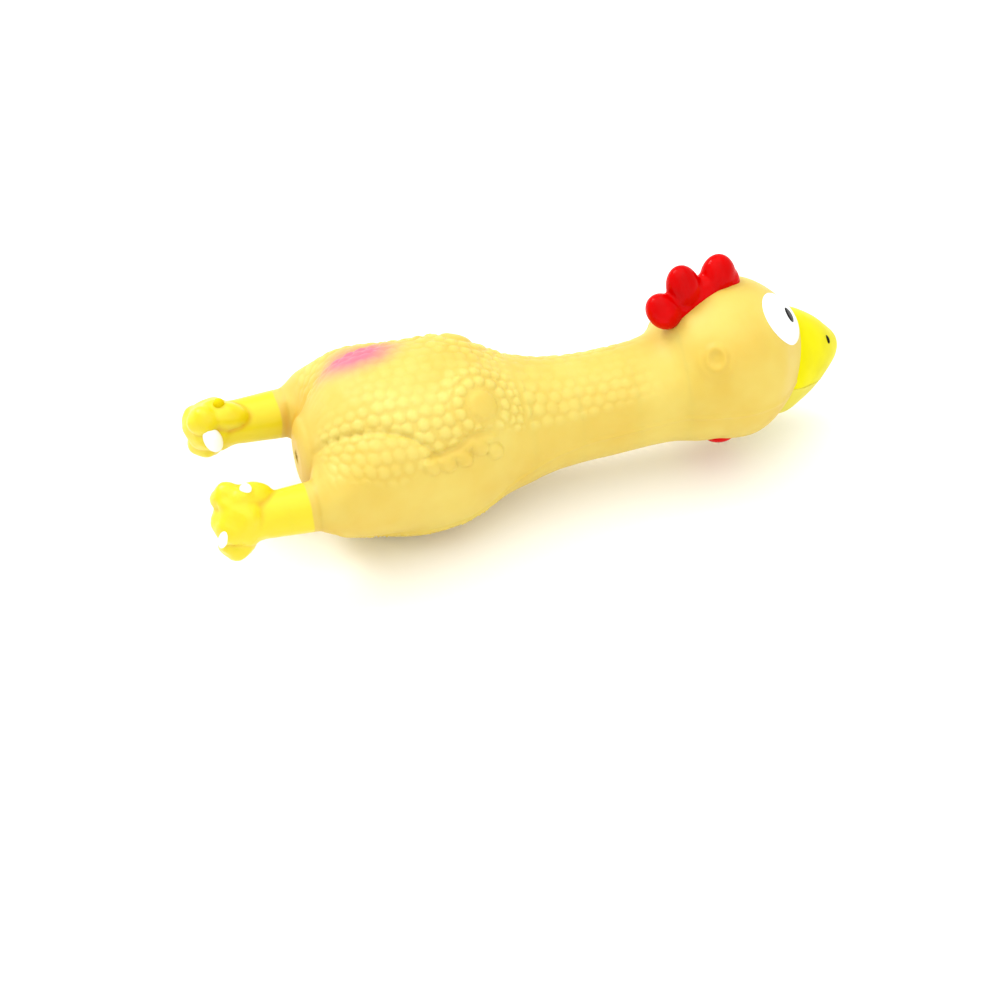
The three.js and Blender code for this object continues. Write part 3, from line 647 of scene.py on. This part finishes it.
def walled(co, quads, normals, wall):
    """A closed wall from an open skin: the same quads again, moved in by the wall and turned round, and a
    strip of quads along each open edge."""
    pairs = edges_of(quads)
    keys = pairs.min(1) * len(co) + pairs.max(1)
    _, index, counts = np.unique(keys, return_index=True, return_counts=True)
    rim = pairs[index[counts == 1]]
    inner = quads[:, ::-1] + len(co)
    strip = np.stack([rim[:, 1], rim[:, 0], rim[:, 0] + len(co), rim[:, 1] + len(co)], -1)
    faces = np.vstack([quads, inner, strip])
    return np.vstack([co, co - normals * wall]), faces, np.vstack([normals, -normals])


def cut_out(keep, co, quads, normals, values):
    """The quads that are kept, with only the vertices that they use."""
    kept = quads[keep]
    used, renumbered = np.unique(kept, return_inverse=True)
    return co[used], renumbered.reshape(-1, 4), normals[used], {k: v[used] for k, v in values.items()}


def stands_for(piece, nodes, body=None):
    """Rides a finished piece on its body, or else bakes its place into its mesh, and hides the frame nodes
    that it stands for.
    """
    if body:
        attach(piece, body)
    else:
        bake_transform(piece)
    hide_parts(*nodes)
    return piece


# ---- Materials -------------------------------------------------------------------------------------------
def node(tree, kind, inputs=None, **settings):
    """Adds one shader node: settings are its own properties, inputs are constants or sockets to link."""
    made = tree.nodes.new(kind)
    for key, value in settings.items():
        setattr(made, key, value)
    for key, value in (inputs or {}).items():
        socket = made.inputs[key]
        if isinstance(value, bpy.types.NodeSocket):
            tree.links.new(value, socket)
        elif hasattr(value, "__len__") and socket.type == "RGBA" and len(value) == 3:
            socket.default_value = (*value, 1)
        else:
            socket.default_value = value
    return made


def new_material(name):
    """An empty material with an output node; returns it and its tree."""
    material = bpy.data.materials.new(name)
    material.use_nodes = True
    tree = material.node_tree
    tree.nodes.clear()
    return material, tree


def ramp(tree, factor, stops):
    """A colour ramp of grey stops (place, value)."""
    made = node(tree, "ShaderNodeValToRGB", {"Fac": factor})
    elements = made.color_ramp.elements
    while len(elements) < len(stops):
        elements.new(0.5)
    for element, (place, value) in zip(elements, stops):
        element.position = place
        element.color = (value, value, value, 1)
    return made.outputs["Color"]


def mix(tree, factor, first, second, blend="MIX"):
    """A colour between two colours."""
    made = node(tree, "ShaderNodeMix", {0: factor}, data_type="RGBA", blend_type=blend)
    for index, value in ((6, first), (7, second)):
        if isinstance(value, bpy.types.NodeSocket):
            tree.links.new(value, made.inputs[index])
        else:
            made.inputs[index].default_value = (*value, 1)
    return made.outputs[2]


def noise(tree, where, scale, detail):
    """Cloudy noise from 0 to 1."""
    inputs = {"Vector": where, "Scale": scale, "Detail": detail}
    return node(tree, "ShaderNodeTexNoise", inputs).outputs["Fac"]


def object_place(tree):
    """Each point's place in the piece's own frame, in metres."""
    return node(tree, "ShaderNodeTexCoord").outputs["Object"]


def attribute(tree, name):
    """A value that the mesh carries on its vertices."""
    return node(tree, "ShaderNodeAttribute", attribute_name=name).outputs["Fac"]


def math_node(tree, operation, *values, clamp=False):
    """A Math node's result from values or sockets."""
    made = node(tree, "ShaderNodeMath", dict(enumerate(values)), operation=operation, use_clamp=clamp)
    return made.outputs[0]


def bumped(tree, height, strength, distance):
    """A normal that stands up with a height."""
    inputs = {"Height": height, "Strength": strength, "Distance": distance}
    return node(tree, "ShaderNodeBump", inputs).outputs[0]


def spread(tree, value, low, high):
    """A value from 0 to 1 spread between low and high."""
    inputs = {"Value": value, "To Min": low, "To Max": high}
    return node(tree, "ShaderNodeMapRange", inputs).outputs["Result"]


def finish_material(tree, inputs):
    """Joins a shader with these inputs to the material's output."""
    shader = node(tree, "ShaderNodeBsdfPrincipled", inputs)
    tree.links.new(shader.outputs[0], node(tree, "ShaderNodeOutputMaterial").inputs["Surface"])


def span_mask(tree, socket, low, high):
    """0 at low, 1 at high, smooth between; low may be above high."""
    made = node(
        tree,
        "ShaderNodeMapRange",
        {"Value": socket, "From Min": low, "From Max": high, "To Min": 0.0, "To Max": 1.0},
        interpolation_type="SMOOTHSTEP",
    )
    return made.outputs["Result"]


def near_mask(tree, where, middle, reach, wobble):
    """1 at a point in metres, 0 at each reach away along X, Y and Z, roughened by a noise."""
    offset = [-m / r for m, r in zip(middle, reach)]
    inputs = {"Vector": where, "Location": offset, "Scale": [1 / r for r in reach]}
    moved = node(tree, "ShaderNodeMapping", inputs).outputs[0]
    distance = node(tree, "ShaderNodeVectorMath", {0: moved}, operation="LENGTH").outputs["Value"]
    return span_mask(tree, math_node(tree, "MULTIPLY_ADD", wobble, 0.5, distance), 1.25, 0.35)


def latex_material(skin, paint):
    """Natural rubber latex, slush moulded and left matt, into which light sinks a little. Its colour holds
    painted light and shade: the raised pebbles are painted lighter and the hollows and creases a deeper
    yellow; a warm painted shade lies where the legs meet the rump; pink is airbrushed on the rump and the
    feet are dipped in yellow, with a deeper painted shade in the grooves between the toes."""
    material, tree = new_material("slush_moulded_latex")
    where = object_place(tree)
    cloud = noise(tree, where, 55.0, 3.0)
    hollow = attribute(tree, "hollow")
    patchy = ramp(tree, cloud, [(0.3, 0.3), (0.7, 0.75)])
    # Painted light and shade: the raised pebbles lighten the skin and the hollows darken it to a deeper
    # yellow; the clouding is random tone.
    raised = math_node(tree, "MULTIPLY_ADD", attribute(tree, "pebble"), 0.35, patchy)
    raised = math_node(tree, "MULTIPLY_ADD", hollow, -0.8, raised, clamp=True)
    base = mix(tree, raised, skin.hollow_shade, skin.light)

    # A warm painted shade where the legs meet the rump, mixed in at about a third.
    leg_root_shade = near_mask(tree, where, ((SEAT_X + 4) * MM, 0, 26 * MM), (0.010, 0.024, 0.012), cloud)
    base = mix(tree, math_node(tree, "MULTIPLY", leg_root_shade, 0.35), base, skin.tan)
    blush = near_mask(tree, where, (-0.0418, 0.0100, 0.0452), (0.0145, 0.0122, 0.0122), cloud)
    base = mix(tree, math_node(tree, "MULTIPLY", blush, 1.15), base, skin.blush)

    ahead = node(tree, "ShaderNodeSeparateXYZ", {0: where}).outputs[0]
    edge = math_node(tree, "MULTIPLY_ADD", cloud, 0.0025, ahead)
    paint_edge = (STUB_X - PAINT_SHORT) * MM + 0.00125
    painted = span_mask(tree, edge, paint_edge + 0.0003, paint_edge - 0.0003)
    # Painted shade: the feet's yellow turns deeper in their hollows.
    shaded = math_node(tree, "MULTIPLY", hollow, 1.2, clamp=True)
    base = mix(tree, painted, base, mix(tree, shaded, paint.foot, paint.groove))

    finish_material(
        tree,
        {
            "Base Color": base,
            "Roughness": spread(tree, painted, 0.52, 0.36),
            "IOR": 1.52,
            "Normal": bumped(tree, noise(tree, where, 900.0, 2.0), 0.12, 0.0002),
            "Subsurface Weight": 0.22,
            "Subsurface Radius": (1.0, 0.62, 0.2),
            "Subsurface Scale": 0.0022,
            "Specular IOR Level": 0.4,
        },
    )
    return material


def paint_material(name, sheet, shade, roughness, coat, wave=0.04):
    """Brushed or dipped rubber paint: an even film, a little thinner and lighter in places, that keeps the
    soft waves of the latex under it."""
    material, tree = new_material(name)
    where = object_place(tree)
    cloud = noise(tree, where, 140.0, 3.0)
    finish_material(
        tree,
        {
            "Base Color": mix(tree, ramp(tree, cloud, [(0.35, 0.0), (0.75, 1.0)]), sheet, shade),
            "Roughness": spread(tree, cloud, roughness, roughness + 0.1),
            "IOR": 1.5,
            "Normal": bumped(tree, noise(tree, where, 420.0, 2.0), wave, 0.0003),
            "Coat Weight": coat,
            "Coat Roughness": 0.06,
            "Specular IOR Level": 0.05,
        },
    )
    return material


def plain_material(name, sheet, shade, roughness, metallic=0.0, scale=300.0, strength=0.05):
    """Moulded plastic or rolled strip: faint clouding and fine surface waves."""
    material, tree = new_material(name)
    cloud = noise(tree, object_place(tree), scale, 3.0)
    finish_material(
        tree,
        {
            "Base Color": mix(tree, cloud, sheet, shade),
            "Roughness": roughness,
            "Metallic": metallic,
            "Normal": bumped(tree, cloud, strength, 0.0002),
        },
    )
    return material


# ---- Pieces: skin ----------------------------------------------------------------------------------------
def fused_skin(settings):
    """Torso, neck, head, legs and feet as one skin with its relief, and how hollow each place is."""
    skull, faces = ball((HEAD_RADIUS,) * 3, (0, 0, 0), sides=128)
    parts = [torso_and_neck(), into_toy((narrow_face(skull), faces)), rump()]
    for side in (1, -1):
        parts += [thigh(side), haunch(side), shank(side)]
        parts += [ball(size, at, turn) for size, at, turn in foot_places(side)]
    co, quads = fuse(parts, settings.voxel / MM, 7)
    throat = step_up(co[:, 0], NECK_X + 28, RIM_X - 1) * (1 - step_up(co[:, 0], RIM_X + 5, RIM_X + 12))
    rear = step_up(co[:, 0], STUB_X + 1, STUB_X + 4) * (1 - step_up(co[:, 0], SEAT_X + 22, SEAT_X + 34))
    co = soften(co, quads, np.maximum(throat, rear), 70)
    normals = normals_of(co, quads)
    # How far each place lies down in a crease, from 0 to 1; the latex colour paints shade there.
    broad = co.copy()
    pairs = edges_of(quads)
    for _ in range(10):
        broad = neighbour_mean(broad, pairs, len(broad))
    hollow = np.clip(((broad - co) * normals).sum(1) / 0.35, 0, 1)
    relief, pebble = skin_relief(co, settings)
    co = co + normals * relief[:, None]
    co[:, 2] = np.maximum(co[:, 2], 0)
    normals = normals_of(co, quads)
    return co, quads, normals, {"pebble": pebble, "hollow": hollow}


LEG_INSIDE = 9.5  # mm from the middle plane: skin farther out, behind the body, is a leg's
PRESS_LOW, PRESS_HIGH = 39.2, 53.2  # mm, heights between which the skin takes up the pressed back's move


def middle_x(name):
    """Where the middle of a frame node lies along X."""
    low, high = corners(name)
    return (low[0] + high[0]) / 2


def across(name):
    """Where the bend over a fold starts and ends, going forward."""
    low, high = corners(name)
    return (low[0], 0, 0), (high[0], 0, 0)


def skin_stretches(x, y):
    """Each stretch of the skin: its name, its quads, the frame nodes that it stands for, and its body or the
    two bodies that it bends between, with where the bend starts and ends."""
    lower, upper, ankle = (middle_x(n) for n in ("neck_lower_tube", "neck_upper_tube", "left_leg_shank"))
    root, front, stub = NECK_X - 1.5, RIM_X + 1.0, STUB_X + 0.2
    on_torso = ((x > stub) | (np.abs(y) < LEG_INSIDE)) & (x <= root)
    stretches = [
        ("torso_latex", on_torso, ["torso_skin", "back_press_panel"],
         ("torso", "back_panel", (0, 0, PRESS_LOW), (0, 0, PRESS_HIGH))),
        ("neck_latex_lower", (x > root) & (x <= lower), ["neck_root_fold", "neck_lower_tube"],
         ("torso", "neck_lower", *across("neck_root_fold"))),
        ("neck_latex_middle", (x > lower) & (x <= upper), ["neck_middle_fold", "neck_upper_tube"],
         ("neck_lower", "neck_upper", *across("neck_middle_fold"))),
        ("neck_latex_upper", (x > upper) & (x <= front), ["neck_head_fold"],
         ("neck_upper", "head", *across("neck_head_fold"))),
        ("head_latex", x > front, ["head_skin"], "head"),
    ]
    for side, word in ((1, "left"), (-1, "right")):
        own = (y * side > LEG_INSIDE) & (x <= stub)
        hip, bend = f"{word}_hip_fold", f"{word}_ankle_fold"
        stretches += [
            (f"{word}_leg_latex", own & (x > ankle), [hip, f"{word}_leg_shank"],
             ("torso", f"{word}_shank", *across(hip)[::-1])),
            (f"{word}_foot_latex", own & (x <= ankle), [bend, f"{word}_foot"],
             (f"{word}_shank", f"{word}_foot", *across(bend)[::-1])),
        ]
    return stretches


class CHICKEN_OT_skin(bpy.types.Operator):
    """Builds the latex skin and cuts it into stretches that lie over one joint each"""

    bl_idname = "chicken.skin"
    bl_label = "Latex skin"

    def execute(self, context):
        settings, paint = context.scene.chicken_skin, context.scene.chicken_paint
        latex = latex_material(settings, paint)
        co, quads, normals, values = fused_skin(settings)
        centre = co[quads].mean(1)
        low, high = corners("squeaker_cup")
        from_mouth = np.hypot(centre[:, 1], centre[:, 2] - (low[2] + high[2]) / 2)
        closed = (centre[:, 0] >= SEAT_X) | (from_mouth >= SQUEAKER_MOUTH)
        quads, centre = quads[closed], centre[closed]
        for name, keep, nodes, where in skin_stretches(centre[:, 0], centre[:, 1]):
            part = cut_out(keep, co, quads, normals, values)
            shell, faces, facing = walled(*part[:3], settings.wall / MM)
            doubled = {key: np.tile(value, 2) for key, value in part[3].items()}
            piece = put_mesh(name, shell, faces, latex, doubled, facing)
            if isinstance(where, str):
                stands_for(piece, nodes, body=where)
            else:
                stands_for(piece, nodes)
        return {"FINISHED"}


# ---- Pieces: head ----------------------------------------------------------------------------------------
BEAK_ROOT = 11.0
BEAK_REACH = 33.6
LOWER_REACH = 27.0
MOUTH_DROP = 5.6
# Share of the beak's length, then half width, rise and drop in millimetres.
BEAK_SHAPE = [
    [0, 14.2, 14.3, 14.9],
    [0.16, 13.9, 14.2, 14.7],
    [0.36, 12.3, 12.8, 13.0],
    [0.52, 10.6, 11.0, 11.2],
    [0.66, 8.7, 9.0, 9.0],
    [0.8, 6.4, 6.4, 6.4],
    [0.92, 3.9, 4.0, 4.2],
    [0.98, 1.8, 2.1, 2.4],
    [1, 0.3, 0.4, 0.4],
]
# Each lobe of the comb: its middle ahead of and above the head's, half length, half height, lean in degrees.
COMB_LOBES = [(-5.6, 21.6, 5.0, 6.4, -8), (-15.6, 19.6, 4.6, 6.4, -26), (-20.8, 13.8, 4.3, 5.6, -52)]
NOSTRIL_SHARE = 0.66  # of the way from the beak's root to its tip
NOSTRIL_HEIGHT = 5.0  # mm above the middle of the head
BEAK_SAG = [1.5, -1.1]  # mm, the beak's middle below the head's, at its root and tip


def on_head(name, part, material, node_name):
    """A finished piece that rides on the head."""
    stands_for(put_mesh(name, *part, material), [node_name], body="head")


class CHICKEN_OT_comb(bpy.types.Operator):
    """Builds the puffy three-lobed comb and the wattle"""

    bl_idname = "chicken.comb"
    bl_label = "Comb and wattle"

    def execute(self, context):
        paint = context.scene.chicken_paint
        red = paint_material("brushed_red_rubber_paint", paint.comb, linear("b40000"), 0.1, 0.04, 0.03)
        parts = [ball((wide, 3.8, tall), (x, 0, z), (0, lean, 0)) for x, z, wide, tall, lean in COMB_LOBES]
        parts.append(ball((11.5, 3.6, 5.2), (-10.0, 0, 17.4), (0, -30, 0)))
        parts.append(ball((3.6, 3.4, 5.4), (-2.8, 0, 19.4)))
        comb = fuse([into_toy(part) for part in parts], 0.4, 12)
        on_head("red_comb", comb, red, "comb")
        parts = [ball((5.0, 3.2, 3.2), (-0.6, s * 1.6, 1.4 - HEAD_RADIUS)) for s in (1, -1)]
        wattle = fuse([into_toy(part) for part in parts], 0.4, 10)
        on_head("red_wattle", wattle, red, "wattle")
        return {"FINISHED"}


def beak_place(share):
    """How far ahead of the head's middle a share of the beak lies, and how far the beak sags there."""
    return BEAK_ROOT + share * (BEAK_REACH - BEAK_ROOT), np.interp(share, [0.2, 1], BEAK_SAG)


def beak_half(upper):
    """The beak's cone of egg rings, kept above or below the mouth line."""
    share = 1 - (1 - np.linspace(0, 1, 60)) ** 1.6
    width, up, down = smooth_rows(BEAK_SHAPE, share).T
    ahead, sag = beak_place(share)
    points, faces = egg_tube(ahead, 0, -sag, width, up, down)
    if upper:
        hook = step_up(points[:, 0], LOWER_REACH - 0.6, LOWER_REACH + 0.6)
        points[:, 2] = np.maximum(points[:, 2], -MOUTH_DROP - 1.6 * hook)
    else:
        points[:, 2] = np.minimum(points[:, 2], -MOUTH_DROP + 0.2)
        points[:, 0] = np.minimum(points[:, 0], LOWER_REACH)
    return points, faces


class CHICKEN_OT_beak(bpy.types.Operator):
    """Builds the upper and lower beak and the nostrils"""

    bl_idname = "chicken.beak"
    bl_label = "Beak"

    def execute(self, context):
        paint = context.scene.chicken_paint
        yellow = paint_material("brushed_lemon_rubber_paint", paint.beak, linear("cfc400"), 0.34, 0.0)
        black = paint_material("black_rubber_paint", paint.black, linear("0e0d0c"), 0.25, 0.1)
        # The lower beak takes a paler yellow than the upper one.
        pale = paint_material("pale_lemon_rubber_paint", linear("d6cc52"), linear("cdbf3c"), 0.4, 0.0)
        for name, upper in (("upper_beak_paint", True), ("lower_beak_paint", False)):
            half = fuse([into_toy(beak_half(upper))], 0.4, 6)
            material = yellow if upper else pale
            on_head(name, half, material, name.replace("_paint", ""))
        # A nostril lies on the beak's skin, turned by the slope of the beak's own ring and by its taper.
        width, up, _ = smooth_rows(BEAK_SHAPE, [NOSTRIL_SHARE])[0]
        x, sag = beak_place(NOSTRIL_SHARE)
        lift = NOSTRIL_HEIGHT + sag
        out = width * math.sqrt(1 - (lift / up) ** 2)
        slope = math.degrees(math.atan2(lift / up**2, out / width**2))
        for side, word in ((1, "left"), (-1, "right")):
            turn = (side * slope, 0, -side * 28)
            nostril = into_toy(ball((0.6, 0.5, 1.2), (x, side * (out - 0.08), NOSTRIL_HEIGHT), turn, 24))
            on_head(f"{word}_nostril_paint", nostril, black, f"{word}_nostril")
        return {"FINISHED"}


def button(side, out_degrees, up_degrees, long, short, base, height):
    """A shallow round cap on the head: at share p of its radius and angle a it stands base + height times
    (1 - p^4)^0.5 out from the head's middle, and its underside lies inside the head."""
    out, up = math.radians(out_degrees), math.radians(up_degrees)
    forward = np.array([math.cos(up) * math.cos(out), side * math.sin(out), math.sin(up) * math.cos(out)])
    across = np.cross([0, 0, 1.0], forward)
    across /= np.linalg.norm(across)
    rise = np.cross(forward, across)
    over = np.sin(np.linspace(0.02, 1, 24) * np.pi / 2)
    back = np.sin(np.linspace(1, 0.02, 12) * np.pi / 2)[1:]
    p = np.concatenate([over, back])[:, None]
    under = np.concatenate([np.zeros(24), np.ones(11)])[:, None]
    a = np.linspace(0, 2 * np.pi, 64, endpoint=False)[None]
    tangent = (p * np.cos(a))[..., None] * across * short + (p * np.sin(a))[..., None] * rise * long
    cap = height * np.sqrt(np.clip(1 - p**4, 0, 1)) * (1 - under)
    cap -= 1.2 * np.sqrt(np.clip(1 - p**2, 0, 1)) * under
    spot = forward * base + tangent
    spot = spot / np.linalg.norm(spot, axis=-1, keepdims=True)
    points, faces = closed_rings((spot * (base + cap + 0 * a)[..., None])[::-1])
    return narrow_face(points), faces


EYE_OUT = 38  # degrees to the side from straight ahead
EYE_UP = 61  # degrees up from straight ahead
EYE_RADIUS = 8.3


class CHICKEN_OT_eyes(bpy.types.Operator):
    """Builds the two big eyes and their pupils"""

    bl_idname = "chicken.eyes"
    bl_label = "Eyes"

    def execute(self, context):
        paint = context.scene.chicken_paint
        white = paint_material("white_rubber_paint", paint.white, linear("f0f1ee"), 0.22, 0.4, 0.02)
        black = bpy.data.materials["black_rubber_paint"]
        for side, word in ((1, "left"), (-1, "right")):
            eye = button(side, EYE_OUT, EYE_UP, EYE_RADIUS, EYE_RADIUS, HEAD_RADIUS, 0.8)
            on_head(f"{word}_eye_paint", into_toy(eye), white, f"{word}_eye")
            pupil = button(side, EYE_OUT - 2, EYE_UP - 4, 2.4, 1.8, HEAD_RADIUS + 0.6, 0.5)
            on_head(f"{word}_pupil_paint", into_toy(pupil), black, f"{word}_pupil")
        return {"FINISHED"}


class CHICKEN_OT_claws(bpy.types.Operator):
    """Builds the six claws, white apart from one whose white coat was missed"""

    bl_idname = "chicken.claws"
    bl_label = "Claws"

    def execute(self, context):
        white = bpy.data.materials["white_rubber_paint"]
        foot = context.scene.chicken_paint.foot
        yellow = paint_material("foot_rubber_paint", foot, linear("cfb400"), 0.34, 0.0)
        places = {
            "top": ((1.5, 1.3, 1.6), (2.0, -1.6, 8.8), (0, -10, 0)),
            "outer": ((1.2, 1.3, 2.8), (-5.6, 5.3, 0.2), (0, 14, 20)),
            "inner": ((2.3, 2.4, 3.8), (-1.0, -6.4, 1.6), (0, -18, -20)),
        }
        for side, word in ((1, "left"), (-1, "right")):
            for place, (size, (ahead, out, above), turn) in places.items():
                middle = (FOOT_FRONT - PALM_BACK + ahead, side * (LEG_OFFSET + out), LEG_HEIGHT + above)
                part = ball(size, middle, (turn[0], turn[1], side * turn[2]), 32)
                bare = word == "left" and place == "top"
                piece = put_mesh(f"{word}_{place}_nail", *part, yellow if bare else white)
                stands_for(piece, [f"{word}_{place}_claw"], body=f"{word}_foot")
        return {"FINISHED"}


class CHICKEN_OT_squeaker(bpy.types.Operator):
    """Gives the squeaker's parts their finishes"""

    bl_idname = "chicken.squeaker"
    bl_label = "Squeaker"

    def execute(self, context):
        plastic = plain_material("moulded_polyethylene", linear("e9e6da"), linear("d9d4c4"), 0.45)
        strip = plain_material("rolled_brass_strip", linear("c9a35a"), linear("b08a45"), 0.28, 1.0, 900.0)
        for name in ("squeaker_cup", "squeaker_cap", "reed_block", "squeaker_reed"):
            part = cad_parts[name]
            part.data.materials.clear()
            part.data.materials.append(strip if name == "squeaker_reed" else plastic)
        return {"FINISHED"}


# ---- Stage -----------------------------------------------------------------------------------------------
class CHICKEN_OT_stage(bpy.types.Operator):
    """Sets the pale floor, the soft studio light and the camera"""

    bl_idname = "chicken.stage"
    bl_label = "Stage"

    def execute(self, context):
        stage = context.scene.chicken_stage
        half = 2.0  # m
        floor_mesh = bpy.data.meshes.new("floor")
        edge = [(-half, -half, 0), (half, -half, 0), (half, half, 0), (-half, half, 0)]
        floor_mesh.from_pydata(edge, [], [(0, 1, 2, 3)])
        table = plain_material("pale_table", stage.floor, linear("f6f6f4"), 0.6, scale=8.0, strength=0.01)
        floor_mesh.materials.append(table)
        floor = linked("floor", floor_mesh)

        azimuth, elevation = math.radians(stage.azimuth), math.radians(stage.elevation)
        level = math.cos(elevation)
        back = Vector((math.sin(azimuth) * level, -math.cos(azimuth) * level, math.sin(elevation)))
        right = Vector((math.cos(azimuth), math.sin(azimuth), 0))
        up = back.cross(right)
        aim = Vector((0, 0, 0.022)) - right * 0.0069 - up * 0.0206
        camera = linked("camera", bpy.data.cameras.new("camera"))
        camera.data.lens = stage.lens
        camera.location = aim + back * stage.distance
        camera.rotation_euler = (-back).to_track_quat("-Z", "Y").to_euler()
        context.scene.camera = camera

        for name, place, size, power in (
            ("key", (-0.5, 0.55, 0.85), 0.45, 6.2),
            ("top", (0.0, 0.0, 1.4), 1.8, 12.0),
            ("fill", (0.3, -1.0, 0.6), 1.4, 3.6),
        ):
            light = bpy.data.lights.new(name, "AREA")
            light.energy, light.size = power, size
            lamp = linked(name, light)
            lamp.location = place
            lamp.rotation_euler = (Vector((0, 0, 0.02)) - Vector(place)).to_track_quat("-Z", "Y").to_euler()
        world = bpy.data.worlds.new("studio")
        world.use_nodes = True
        world.node_tree.nodes["Background"].inputs[0].default_value = (1, 1, 1, 1)
        world.node_tree.nodes["Background"].inputs[1].default_value = 0.95
        context.scene.world = world
        context.scene.view_settings.view_transform = "Standard"
        return {"FINISHED"}


OPERATORS = (
    CHICKEN_OT_stage,
    CHICKEN_OT_skin,
    CHICKEN_OT_comb,
    CHICKEN_OT_beak,
    CHICKEN_OT_eyes,
    CHICKEN_OT_claws,
    CHICKEN_OT_squeaker,
)


class CHICKEN_PT_panel(bpy.types.Panel):
    """Lists the steps that build the toy"""

    bl_label = "Rubber chicken"
    bl_idname = "CHICKEN_PT_panel"
    bl_space_type = "VIEW_3D"
    bl_region_type = "UI"
    bl_category = "Chicken"

    def draw(self, context):
        for operator in OPERATORS:
            self.layout.operator(operator.bl_idname)


SETTINGS = {
    "chicken_skin": ChickenSkinSettings,
    "chicken_paint": ChickenPaintSettings,
    "chicken_stage": ChickenStageSettings,
}


def register():
    for kind in (*SETTINGS.values(), *OPERATORS, CHICKEN_PT_panel):
        bpy.utils.register_class(kind)
    for name, kind in SETTINGS.items():
        setattr(bpy.types.Scene, name, PointerProperty(type=kind))


def unregister():
    for name in SETTINGS:
        delattr(bpy.types.Scene, name)
    for kind in (CHICKEN_PT_panel, *reversed(OPERATORS), *SETTINGS.values()):
        bpy.utils.unregister_class(kind)


def main():
    register()
    for operator in OPERATORS:
        group, name = operator.bl_idname.split(".")
        getattr(getattr(bpy.ops, group), name)()


if __name__ == "__main__":
    main()
